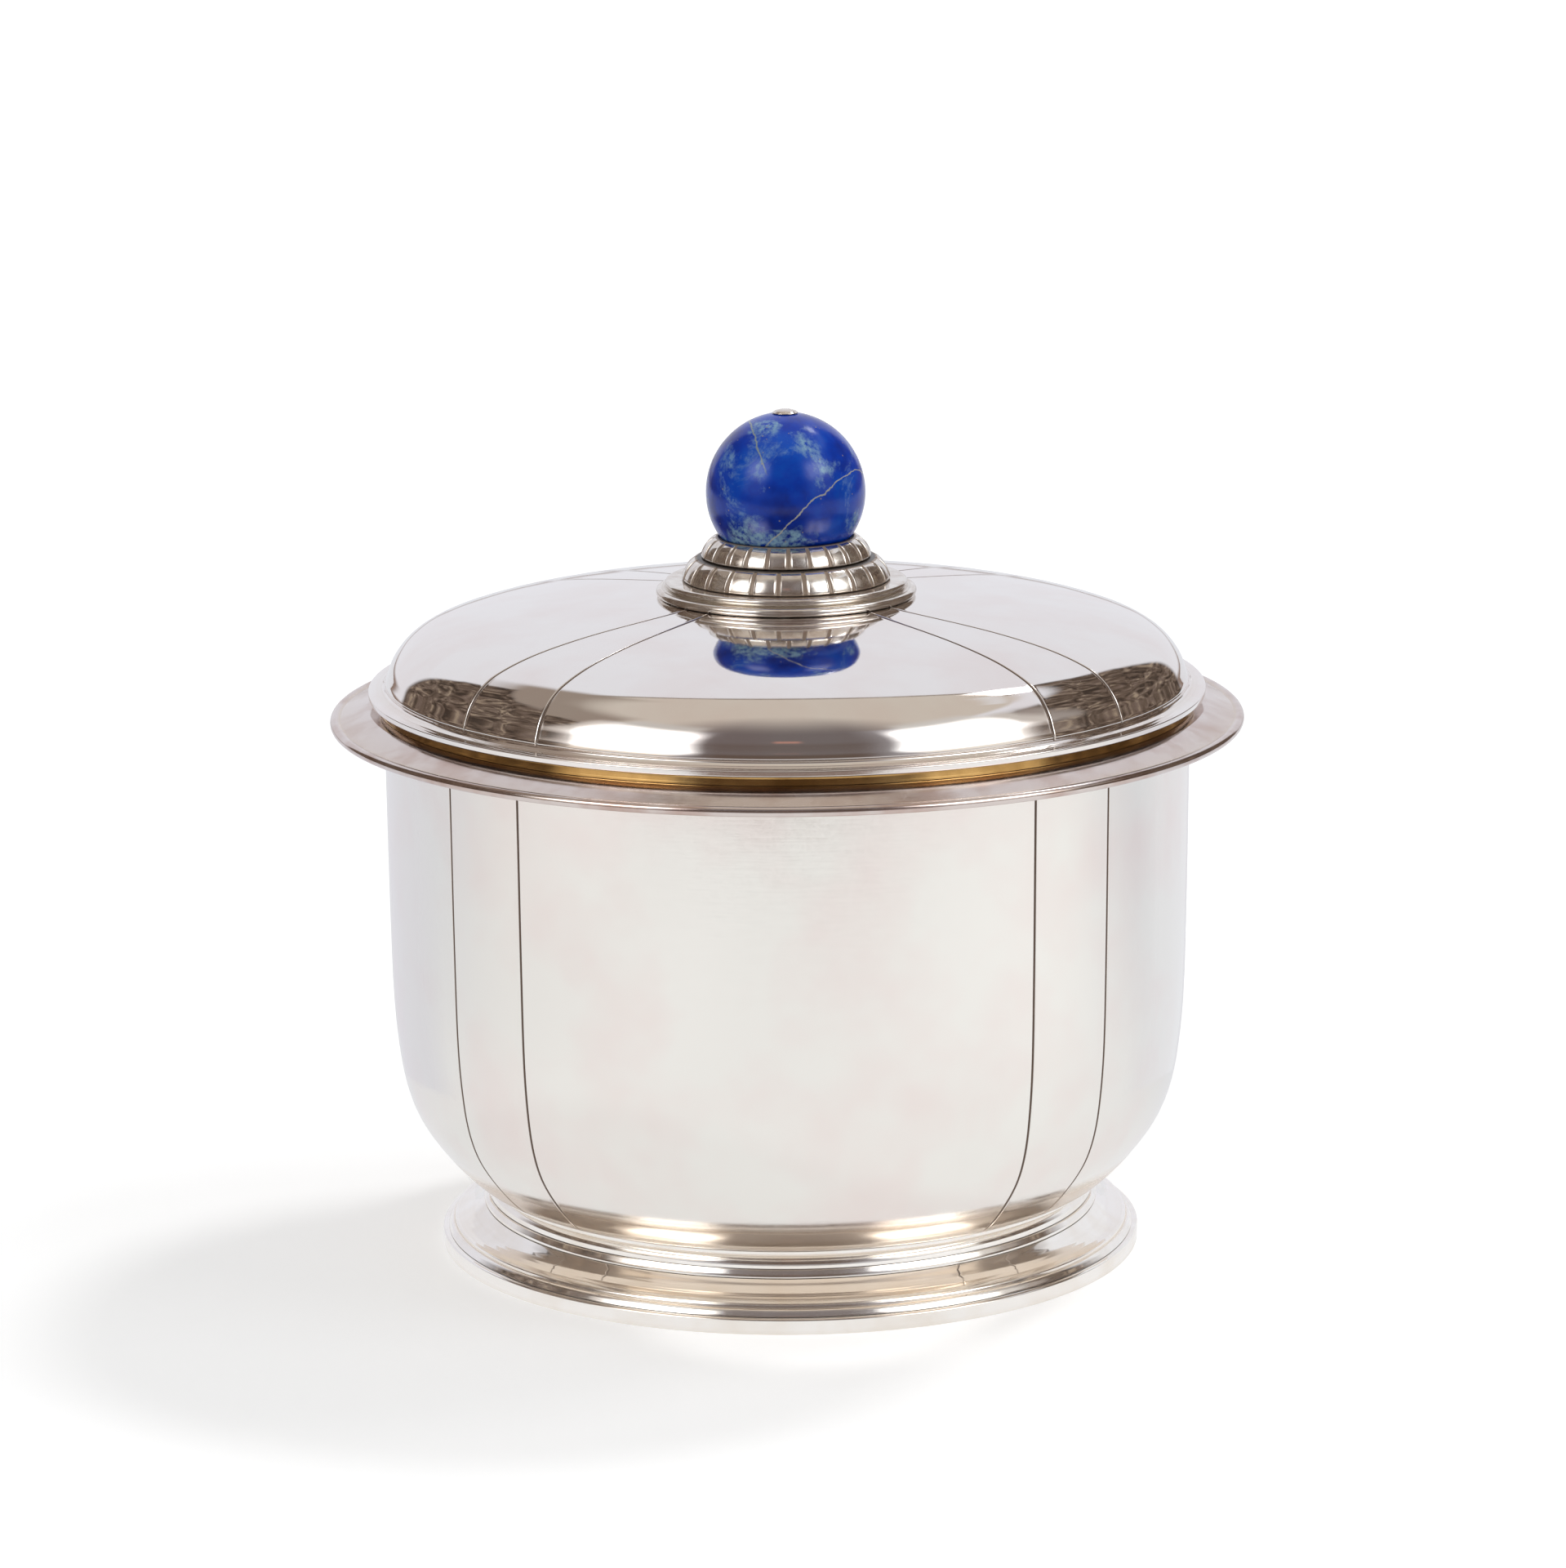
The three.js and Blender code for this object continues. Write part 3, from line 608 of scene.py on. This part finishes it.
def pushed_in(outline, k, depth):
    # Point k of the outline, moved in this deep, square to the outline.
    r, z = outline[k]
    a = outline[max(0, k - 1)]
    b = outline[min(len(outline) - 1, k + 1)]
    run = math.dist(a, b)
    return r - depth * (b[1] - a[1]) / run, z + depth * (b[0] - a[0]) / run


def inner_wall(side, wall):
    # The inside of a sheet this thick. It needs only every fourth point.
    return [pushed_in(side, k, wall) for k in range(0, len(side), 4)]


bowl_inside = inner_wall(bowl_side, BOWL_WALL)
bowl_floor = [(0, 13.5), (30, 13.5), (57.6, 13.5), (58.3, 13.5)]
bowl_rows = bowl_floor + bowl_side
inside_from = len(bowl_rows)
bowl_rows += [(75.3, 101.2)] + bowl_inside[::-1][1:-1] + [(57.5, 14.4), (30, 14.4), (0, 14.4)]


def bowl_cut(k, r, z, angle, push):
    # A line starts just above the foot. Where the wall turns in, the cut is pushed up as well as in.
    if k < len(bowl_floor) or k >= inside_from:
        return r, z
    fade = clamp((z - LINES_FROM) / LINES_FADE)
    steep = clamp((z - TURN_IN_FROM) / TURN_IN_OVER)
    return r - push * fade * (0.6 + 0.4 * steep), z + push * fade * 0.6 * (1 - steep)


quarter = turned("bowl_quarter", bowl_rows, pair_columns(56), closed_round=False, loop=False,
                 shift=bowl_cut, gilt=lambda k: k >= inside_from - 1)
bowl = copied_round(quarter, "bowl_fine", 4, BOWL_TURN, SILVER_BODY, GILT)
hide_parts("bowl")
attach(bowl, "box")


# %% [markdown]
# The mouth: a sloping collar with a bead round its edge, and inside it the gilt ring that the lid sits on.
# Hands lift the box by this collar, so its polish is softer and pinker than the rest.

# %% Mouth
BEAD_R = 85.5
BEAD_Z = 102.06
BEAD = 0.9


def half_round(r, z, radius, start, end, count=12):
    out = []
    for k in range(count + 1):
        a = math.radians(start + (end - start) * k / count)
        out.append((r + radius * math.cos(a), z + radius * math.sin(a)))
    return out


collar_rows = supported(rounded([(75.5, 101.3), (76.9, 101.3, 0.5), (78.0, 102.6, 0.8), (84.3, 101.9)])
                        + half_round(BEAD_R, BEAD_Z, BEAD, -165, 107, 26)
                        + rounded([(84.55, 102.72), (84.35, 102.82, 0.15), (79.25, 104.86, 0.22),
                                   (78.2, 104.9, 0.1), (75.5, 104.9)]))
collar = turned("mouth_collar_fine", collar_rows, around(384), SILVER_RIM)
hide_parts("mouth_collar")

bezel_rows = supported(rounded([
    (74.2, 96.9), (75.0, 97.0, 0.1), (75.0, 104.95, 0.1), (77.35, 104.95, 0.05), (77.2, 105.4, 2.0),
    (76.9, 106.42, 0.1), (76.8, 106.5, 0.08), (74.3, 106.5, 0.2), (74.3, 97.0, 0.1)]))
bezel = turned("mouth_bezel_fine", bezel_rows, around(288), GILT)
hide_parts("mouth_bezel")
for piece, slot_name in ((collar, "silver"), (bezel, "gilt")):
    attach(piece, "box")


# %% [markdown]
# The lid is spun in one curve that is almost flat in the middle and rolls over quickly at the shoulder.
# That shoulder bends the whole room into a narrow dark band, so its curve is drawn with the most points.

# %% Lid dome
DOME_WALL = 0.8
SEAM_HEIGHT = 109.4
SEAM_FADE = 0.8
KNOB_EDGE = 19
KNOB_FADE = 4
dome_side = smooth([
    (75.98, 108.95), (75.93, 109.5), (75.4, 110.8), (74.55, 112.9), (73.2, 114.9), (71.5, 116.6),
    (69.15, 118.1), (66.35, 119.2), (63.2, 120.15), (59.4, 121.05), (54.3, 121.95), (47.7, 122.85),
    (40.8, 123.55), (34.2, 124.1), (27.5, 124.65), (24.0, 125.0), (18, 125.5), (8.0, 126.0),
    (1.6, 126.1)], 110)
dome_inside = [p for p in inner_wall(dome_side, DOME_WALL) if p[0] > 3]
dome_rows = dome_side + [(1.6, 125.35)] + dome_inside[::-1] + [(75.15, 108.95)]


def dome_cut(k, r, z, angle, push):
    if k >= len(dome_side):
        return r, z
    # A line fades out under the knob and just above the flange.
    ends = clamp((r - KNOB_EDGE) / KNOB_FADE) * clamp((z - SEAM_HEIGHT) / SEAM_FADE)
    return pushed_in(dome_side, k, push * ends)


quarter = turned("dome_quarter", dome_rows, pair_columns(21), closed_round=False, shift=dome_cut,
                 gilt=lambda k: k > len(dome_side))
dome = copied_round(quarter, "lid_dome_fine", 4, LID_TURN, SILVER_LID, GILT)
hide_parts("lid_dome")
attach(dome, "lid")


# %% [markdown]
# The lid ends in a flange with a flat, upright edge and a shallow hollow where the dome springs from it.

# %% Lid flange and sleeve
flange_rows = supported(rounded([
    (74.1, 106.8), (78.95, 106.8, 0.15), (79.1, 107.0, 0.1), (79.1, 107.95, 0.18), (78.2, 108.02, 0.3),
    (77.3, 108.14, 0.5), (76.6, 108.4, 0.5), (76.15, 108.75, 0.25), (76.05, 108.93, 0.05), (74.1, 108.93)]))
flange = turned("lid_flange_fine", flange_rows, around(384), SILVER_LID)
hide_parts("lid_flange")

sleeve_rows = supported(rounded([
    (73.0, 99.5), (73.65, 99.5, 0.2), (73.8, 99.9, 0.3), (73.8, 108.6, 0.1), (73.0, 108.6, 0.1),
    (73.0, 99.6, 0.1)]))
sleeve = turned("lid_sleeve_fine", sleeve_rows, around(288), GILT)
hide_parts("lid_sleeve")
for piece, slot_name in ((flange, "silver"), (sleeve, "gilt")):
    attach(piece, "lid")


# %% [markdown]
# The knob stands on a stepped base: a fat bead below, a groove, and a thin bead above.

# %% Knob base
base_rows = supported([(1.6, 126.35), (8.0, 126.3), (18, 125.75), (23.3, 125.2)]
                      + half_round(23.8, 125.85, 0.79, -100, 118)
                      + rounded([(23.2, 126.62), (22.75, 126.72, 0.12), (22.5, 126.85, 0.12), (22.6, 126.95)])
                      + half_round(22.2, 127.45, 0.66, -50, 95)
                      + [(21.2, 128.08), (1.6, 128.1)])
base = turned("knob_base_fine", base_rows, around(240), SILVER_KNOB)
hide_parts("knob_base")
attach(base, "lid")


# %% [markdown]
# Two rings of cushions carry the ball. Each cushion is cut off from the next by a short upright slot with
# rounded, rubbed lips and a dull floor. One cushion is made, half a slot at each side, and Geometry Nodes
# copy it 24 times round.

# %% Knob rings
PADS = 24
SLOT_STEPS = [0.0, 0.18, 0.29, 0.36, 0.42, 0.49, 0.56, 0.64, 0.74, 0.9, 1.15]
SLOT_DEPTH = 0.24
SLOT_HALF = 0.26
SLOT_SIDE = 0.2
PAD_LIP = 0.06
PAD_LIP_AT = 0.55
PAD_LIP_WIDTH = 0.11
CROWN = 0.02
SEAT_RADIUS = 15.3


def eased(x):
    return x * x * (3 - 2 * x)


def slot_push(offset):
    wall = SLOT_DEPTH * (1 - eased(clamp((offset - SLOT_HALF) / SLOT_SIDE)))
    lip = PAD_LIP * math.exp(-((offset - PAD_LIP_AT) / PAD_LIP_WIDTH) ** 2)
    return wall - lip


def cushion(name, outline, shown, mean_radius, shaded_creases):
    # outline: whole closed section; shown: first and last row of the cushioned face.
    half = 180 / PADS
    columns = []
    for offset in SLOT_STEPS:
        a = math.degrees(offset / mean_radius)
        columns += [(-half + a, slot_push(offset)), (half - a, slot_push(offset))]
    inner = half - math.degrees(SLOT_STEPS[-1] / mean_radius)
    columns += [(inner * k / 4, 0.0) for k in range(-3, 4)]
    columns.sort()
    crown = [CROWN * (1 - (a / half) ** 2) for a, _ in columns]
    made = [lambda r, a=a, p=p, c=c: (a, p - c) for (a, p), c in zip(columns, crown)]

    def shape(k, r, z, angle, push):
        if k <= shown[0] or k >= shown[1]:
            return r, z
        place = (k - shown[0]) / (shown[1] - shown[0])
        return pushed_in(outline, k, push * eased(min(1.0, 4.5 * place, 4.5 * (1 - place))))

    return turned(name, outline, made, closed_round=False, shift=shape, shaded_creases=shaded_creases)


def ball_seat(z_from, z_to, count=6):
    out = []
    for k in range(count + 1):
        z = z_from + (z_to - z_from) * k / count
        out.append((math.sqrt(SEAT_RADIUS ** 2 - (z - BALL_Z) ** 2), z))
    return out


lower_face = smooth([(19.4, 128.13), (19.62, 128.5), (19.41, 129.2), (19.11, 129.9), (18.72, 130.6),
                     (18.27, 131.2), (17.71, 131.7), (17.1, 132.05), (16.48, 132.25)], 28)
lower_outline = [(1.6, 128.25), (10, 128.2), (18.6, 128.12)] + lower_face + [(15.4, 132.33)]
lower_outline += ball_seat(131.6, 129.5) + [(1.6, 129.42)]
upper_face = smooth([(15.75, 132.42), (16.0, 132.65), (15.85, 133.2), (15.55, 133.9), (15.13, 134.6),
                     (14.63, 135.2), (13.86, 135.8), (13.04, 136.15)], 30)
upper_outline = [(9.4, 132.45), (13.0, 132.4), (15.3, 132.4)] + upper_face + [(12.75, 136.3)]
upper_outline += ball_seat(136.2, 132.6)
# Each ring: name, outline, rows of the cushioned face, mean radius, turn, and the heights of its seams, which
# get painted shade with old polish.
rings = [
    ("knob_lower_ring", lower_outline, (2, 2 + len(lower_face)), 19.4, 3.0, (128.1, 132.25)),
    ("knob_upper_ring", upper_outline, (2, 2 + len(upper_face)), 15.8, 9.2, (132.4, 136.3)),
]
for name, outline, shown, mean_radius, turn_by, shaded_creases in rings:
    one = cushion(name + "_cushion", outline, shown, mean_radius, shaded_creases)
    ring = copied_round(one, name + "_fine", PADS, turn_by, SILVER_KNOB, GILT)
    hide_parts(name)
    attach(ring, "lid")


# %% [markdown]
# The ball is turned from one piece of stone and drilled through for the rod. A ball made by hand is never
# quite round, so a slow wave moves its surface by a few hundredths of a millimetre.

# %% Stone ball
HOLE_AT = 83.9


def hand_turned(k, r, z, angle, push):
    a = math.radians(angle)
    wobble = 0.02 * math.sin(2 * a + z * 0.3) + 0.015 * math.sin(3 * a - z * 0.5)
    return r * (1 + wobble / BALL_RADIUS), z


ball_rows = half_round(0, BALL_Z, BALL_RADIUS, -HOLE_AT, HOLE_AT, 96)
ball = turned("lapis_ball_fine", ball_rows, around(192), LAPIS, shift=hand_turned)
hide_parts("lapis_ball")
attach(ball, "lid")


# %% [markdown]
# A small silver button closes the top of the hole. Below, inside the lid, a rod, washer and nut hold the
# knob. They are plain bench-made fixings, so the nut has chamfered corners and the rod end has a thread.

# %% Cap, rod, washer and nut
CAP_FLOOR = 159.55
NUT_HALF = 2.77
THREADS = 9
PITCH = 0.5
cap_rows = supported(rounded([(0, CAP_FLOOR + 0.2), (1.9, CAP_FLOOR + 0.15, 0.1), (2.42, CAP_FLOOR, 0.08),
                              (2.46, CAP_FLOOR + 0.12, 0.1), (1.9, CAP_FLOOR + 0.48, 0.8),
                              (0.9, CAP_FLOOR + 0.72, 1.5), (0, CAP_FLOOR + 0.76)]), near=0.03)
cap = turned("knob_cap_fine", cap_rows, around(96), SILVER_KNOB, loop=False)
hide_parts("knob_cap")

washer_rows = supported(rounded([(1.6, 124.05), (6.6, 124.05, 0.2), (7.0, 124.4, 0.3), (6.5, 124.95, 0.4),
                                 (1.6, 125.05)]))
washer = turned("knob_washer_fine", washer_rows, around(96), SILVER_LID)
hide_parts("knob_washer")


def hexed(k, r, z, angle, push):
    # Six flats on the outside. The bore stays round.
    if r < 2:
        return r, z
    return min(r, NUT_HALF / math.cos(math.radians((angle + 30) % 60 - 30))), z


nut_rows = supported(rounded([(1.6, 121.5), (1.75, 121.35, 0.05), (2.75, 121.35, 0.1), (3.2, 121.65, 0.1),
                              (3.2, 123.45, 0.1), (2.75, 123.75, 0.1), (1.75, 123.75, 0.05),
                              (1.6, 123.6, 0.05), (1.6, 121.6)]), near=0.04)
nut = turned("knob_nut_fine", nut_rows, around(120), SILVER_LID, shift=hexed)
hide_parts("knob_nut")

rod_rows = [(0, 120.55), (0.95, 120.55), (1.2, 120.8)]
for k in range(THREADS):
    z = 120.9 + PITCH * k
    rod_rows += [(1.24, z), (1.05, z + 0.22), (1.24, z + 0.44)]
rod_rows += [(1.24, 126.0), (1.24, 159.3), (1.1, 159.45), (0, 159.45)]
rod = turned("knob_rod_fine", rod_rows, around(48), SILVER_LID, loop=False)
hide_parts("knob_rod")
for piece in (cap, washer, nut, rod):
    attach(piece, "lid")


# %% [markdown]
# The box stands on a white sweep. In the picture the floor is plain white with one soft shadow to the front
# left, cast by a window high behind on the right. The lamps cast that shadow on the floor's matte white, and
# a little glow that only the camera and the reflections see lifts the lit part to white.

# %% Floor
PAPER_SIDE = 1.0
PAPER_FRONT = -0.525
PAPER_BACK = 4.0
CAMERA_GLOW = 0.34
THROWN_LIGHT = 0.14
floor_mesh = bpy.data.meshes.new("white_sweep")
corners = ((-1, PAPER_FRONT), (1, PAPER_FRONT), (1, PAPER_BACK), (-1, PAPER_BACK))
floor_mesh.from_pydata([(side * PAPER_SIDE, y, 0) for side, y in corners], [], [(0, 1, 2, 3)])
floor = new_object("white_sweep", floor_mesh)

paper = bpy.data.materials.new("white_background_paper")
tree = emptied_tree(paper)
path = add_node(tree, "ShaderNodeLightPath").outputs
place = add_node(tree, "ShaderNodeTexCoord").outputs["Object"]
# Painted shade: in reflections the paper's glow is greyer to the left, and darker and bluer behind the box.
x, y, z = add_node(tree, "ShaderNodeSeparateXYZ", {0: place}).outputs
left = add_node(tree, MAP_RANGE, {"Value": x, "From Min": -0.10, "From Max": -0.30}, **SMOOTH)
behind = add_node(tree, MAP_RANGE, {"Value": y, "From Min": -0.10, "From Max": 0.16}, **SMOOTH)
shaded_left_colour = add_node(tree, MIX, {
    "Factor": left, "A": (0.82, 0.815, 0.815, 1), "B": (0.74, 0.73, 0.73, 1)}, **COLOUR)
shaded_glow_colour = add_node(tree, MIX, {"Factor": behind, "A": shaded_left_colour, "B": (0.64, 0.65, 0.69, 1)}, **COLOUR)
matte = add_node(tree, "ShaderNodeBsdfDiffuse", {"Color": linear("#E6E6E6")})
# The silver throws light back on the paper at its foot; this patch stands for it.
off = add_node(tree, "ShaderNodeVectorMath", {0: place, 1: (0.004, -0.055, 0)}, operation="DISTANCE")
thrown = add_node(tree, MAP_RANGE, {
    "Value": off, "From Min": 0.038, "From Max": 0.024, "To Min": CAMERA_GLOW,
    "To Max": CAMERA_GLOW + THROWN_LIGHT}, **SMOOTH)
lit = add_node(tree, "ShaderNodeEmission", {"Strength": thrown})
seen_lit = add_node(tree, "ShaderNodeAddShader", {0: matte, 1: lit})
half_matte = add_node(tree, "ShaderNodeBsdfDiffuse", {"Color": linear("#707070")})
# Painted light: in reflections the paper is brighter on the way to each softbox. Each patch: its middle, its
# radius, its gain.
gain = 1.0
for centre, reach, more in (((-0.38, -0.32, 0), 0.36, 0.13), ((0.31, -0.18, 0), 0.34, 0.09)):
    from_centre = add_node(tree, "ShaderNodeVectorMath", {0: place, 1: centre}, operation="DISTANCE")
    painted_softbox_light = add_node(tree, MAP_RANGE, {
        "Value": from_centre, "From Min": reach, "From Max": 0.0, "To Max": more}, **SMOOTH)
    gain = add_node(tree, MATH, {0: painted_softbox_light, 1: gain}, operation="ADD")
mirror_glow = add_node(tree, "ShaderNodeEmission", {"Color": shaded_glow_colour, "Strength": gain})
in_mirror = add_node(tree, "ShaderNodeAddShader", {0: half_matte, 1: mirror_glow})
direct = add_node(tree, MATH, {0: path["Is Camera Ray"], 1: path["Is Transmission Ray"]}, operation="MAXIMUM")
plain_or_seen = add_node(tree, "ShaderNodeMixShader", {0: direct, 1: matte, 2: seen_lit})
either = add_node(tree, "ShaderNodeMixShader", {0: path["Is Glossy Ray"], 1: plain_or_seen, 2: in_mirror})
add_node(tree, "ShaderNodeOutputMaterial", {0: either})
floor_mesh.materials.append(paper)
print("the floor reaches", PAPER_BACK, "m behind the box")


# %% [markdown]
# Two low white cards stand close to the foot, one on each side and a little behind, as a photographer puts
# them to brighten its mouldings and the edges of the bowl. Only reflections see them.

# %% Low white cards
CARD_RADIUS = 0.14
CARD_HEIGHT = 0.088
CARD_FROM = 90
CARD_TO = 133
CARD_STRIPS = 18
FADE_BACK = 0.03
for side, glow in ((-1, (0.785, 0.785, 0.84, 1)), (1, (0.87, 0.88, 0.92, 1))):
    card_paper = bpy.data.materials.new("white_card")
    tree = emptied_tree(card_paper)
    place = add_node(tree, "ShaderNodeTexCoord").outputs["Object"]
    back = add_node(tree, "ShaderNodeSeparateXYZ", {0: place}).outputs["Y"]
    # The near edge fades, so that it draws no line in the bowl.
    solid = add_node(tree, MAP_RANGE, {"Value": back, "From Max": FADE_BACK})
    bare = add_node(tree, "ShaderNodeBsdfTransparent")
    card_glow = add_node(tree, "ShaderNodeEmission", {"Color": glow})
    faded = add_node(tree, "ShaderNodeMixShader", {0: solid, 1: bare, 2: card_glow})
    add_node(tree, "ShaderNodeOutputMaterial", {0: faded})
    posts = []
    for k in range(CARD_STRIPS + 1):
        a = math.radians(CARD_FROM + (CARD_TO - CARD_FROM) * k / CARD_STRIPS)
        for z in (0.0005, CARD_HEIGHT):
            posts.append((side * CARD_RADIUS * math.sin(a), -CARD_RADIUS * math.cos(a), z))
    card_mesh = bpy.data.meshes.new("white_card")
    card_mesh.from_pydata(posts, [], [(2 * k, 2 * k + 2, 2 * k + 3, 2 * k + 1) for k in range(CARD_STRIPS)])
    card_mesh.materials.append(card_paper)
    card = new_object("white_card_right" if side > 0 else "white_card_left", card_mesh)
    card.visible_camera = False
    card.visible_diffuse = False
    card.visible_shadow = False
    card.visible_transmission = False
print("cards", round(CARD_HEIGHT / MM), "mm high")


# %% [markdown]
# Lamps light what is not mirror-like: the stone and the floor. A sun-like lamp stands for the window, at
# about 138 degrees round from the camera and 52 degrees up, which is where the shadow's edge points. A weak
# one beside it softens that edge, and two broad ones stand for the softboxes in front. Silver shows none of
# them directly: it sees the painted room.

# %% Lamps
def lamp(name, round_deg, up_deg, strength, spread_deg):
    light = bpy.data.lights.new(name, "SUN")
    light.energy = strength
    light.angle = math.radians(spread_deg)
    item = new_object(name, light)
    a = math.radians(round_deg)
    e = math.radians(up_deg)
    source = Vector((math.sin(a) * math.cos(e), -math.cos(a) * math.cos(e), math.sin(e)))
    item.rotation_euler = source.to_track_quat("Z", "Y").to_euler()
    item.visible_glossy = False


lamp("window_behind_right", 137.6, 52.4, 0.85, 11)
lamp("window_far_right", 112.0, 47.0, 0.25, 12)
lamp("softbox_front_right", 67.5, 50.0, 0.25, 22)
lamp("softbox_front_left", -50.0, 40.0, 0.30, 30)
print(len(bpy.data.lights), "lamps")


# %% [markdown]
# The painted room. Polished silver needs something to reflect, so the sky outside the camera's view is a
# plain white studio with a beige ceiling, dark corners to the left and right, two softboxes in front and a
# bright window behind on the right. Each is a soft-edged patch in direction: so many degrees round from
# the front and so many degrees up. Only mirror-like reflections see it. The camera sees plain white.

# %% Painted room
world = bpy.data.worlds.new("studio")
bpy.context.scene.world = world
tree = emptied_tree(world)
way = add_node(tree, "ShaderNodeTexCoord").outputs["Generated"]
x, y, z = add_node(tree, "ShaderNodeSeparateXYZ", {0: way}).outputs
minus_y = add_node(tree, MATH, {0: y, 1: -1.0}, operation="MULTIPLY")
round_rad = add_node(tree, MATH, {0: x, 1: minus_y}, operation="ARCTAN2")
up_rad = add_node(tree, MATH, {0: z}, operation="ARCSINE")
round_by = add_node(tree, MATH, {0: round_rad}, operation="DEGREES")
up_by = add_node(tree, MATH, {0: up_rad}, operation="DEGREES")
clutter = add_node(tree, "ShaderNodeTexNoise", {
    "Vector": way, "Scale": 7.0, "Detail": 5.0, "Roughness": 0.6, "Distortion": 3.0})
clutter_colour = add_node(tree, "ShaderNodeValToRGB", {0: clutter})
stops = clutter_colour.color_ramp.elements
stops[0].position = 0.40
stops[0].color = linear("#40352E")
stops[1].position = 0.62
stops[1].color = linear("#A4937F")
stops.new(0.50).color = linear("#6A5A4E")
stops.new(0.58).color = linear("#7A6A62")

CEILING = "#D2C8BD"
patches = [
    # name, round, up, half round, half up, soft, colour, strength; later ones lie over earlier ones
    ("white_wall", 180, 0, 200, 53.0, 1.5, "#ECECF2", 1.0),
    ("ceiling_edge", 180, 53.6, 46, 0.7, 1.0, "#857A70", 1.0),
    ("studio_floor", 0, -60, 200, 59.0, 1.5, "#8F7B70", 1.0),
    ("ceiling_left", -112, 50, 42, 9, 5.0, "#9C8E83", 1.0),
    ("room_left", -97, 17.5, 43.5, 27, 1.5, None, 1.0),
    ("room_right", 107, 18, 43.5, 28, 1.5, None, 1.0),
    ("room_right_near", 90, 34, 8, 13, 5.0, "#A39A94", 1.0),
    ("front_dark", 0, 34, 40, 36, 20.0, "#756C6B", 1.0),
    ("front_low_dark", 0, 16, 24, 13, 6.0, "#64554C", 1.0),
    ("cream_low", -50, 14, 17, 10, 4.0, "#F0E4D6", 1.0),
    ("cream_low_right", 57, 14, 18, 10, 4.0, "#F6EEE4", 1.0),
    ("pink_glint", 0, 35, 4, 1.6, 1.5, "#B98A7C", 1.0),
    ("softbox_left_top", -50, 53, 17, 6, 4.0, "#CFCBC6", 1.0),
    ("softbox_left_side", -70, 38, 6, 14, 3.0, "#DAD1CA", 1.0),
    ("softbox_left", -49, 35.5, 17, 11, 8.0, "#FFFFFF", 5.0),
    ("softbox_right_top", 60, 52, 18, 5, 4.0, "#D8D5D1", 1.0),
    ("softbox_right_side", 79, 37, 9, 13, 4.0, "#D3CDC7", 1.0),
    ("softbox_right", 56, 35.5, 19, 11, 7.0, "#FFFFFF", 5.0),
    ("window_glow", 124, 57, 14, 2, 2.0, "#F4F2F2", 0.85),
    ("window", 145, 51.5, 7, 2.5, 2.0, "#FFFFFF", 10.0),
]
seen_colour = linear(CEILING)
for name, round_at, up_at, half_round_by, half_up_by, soft, colour, strength in patches:
    off = add_node(tree, MATH, {0: round_by, 1: float(round_at)}, operation="SUBTRACT")
    wrapped = add_node(tree, MATH, {0: off, 1: 180.0, 2: -180.0}, operation="WRAP")
    across = add_node(tree, MATH, {0: wrapped}, operation="ABSOLUTE")
    lift_off = add_node(tree, MATH, {0: up_by, 1: float(up_at)}, operation="SUBTRACT")
    upright = add_node(tree, MATH, {0: lift_off}, operation="ABSOLUTE")
    sides = add_node(tree, MAP_RANGE, {
        "Value": across, "From Min": half_round_by + soft, "From Max": half_round_by - soft}, **SMOOTH)
    ends = add_node(tree, MAP_RANGE, {
        "Value": upright, "From Min": half_up_by + soft, "From Max": half_up_by - soft}, **SMOOTH)
    share = add_node(tree, MATH, {0: sides, 1: ends}, operation="MULTIPLY")
    paint = clutter_colour if colour is None else [c * strength for c in linear(colour)[:3]] + [1.0]
    laid = add_node(tree, MIX, {"Factor": share, "A": seen_colour, "B": paint}, label=name, **COLOUR)
    seen_colour = laid

path = add_node(tree, "ShaderNodeLightPath").outputs
plain = add_node(tree, "ShaderNodeBackground", {"Color": linear("#FFFFFF"), "Strength": 0.55})
white = add_node(tree, "ShaderNodeBackground", {"Color": linear("#FFFFFF"), "Strength": 1.0})
painted = add_node(tree, "ShaderNodeBackground", {"Color": seen_colour, "Strength": 1.0})
mirror = add_node(tree, "ShaderNodeMixShader", {0: path["Is Glossy Ray"], 1: plain, 2: painted})
final = add_node(tree, "ShaderNodeMixShader", {0: path["Is Camera Ray"], 1: mirror, 2: white})
add_node(tree, "ShaderNodeOutputWorld", {0: final})
print(len(patches), "patches in the painted room")
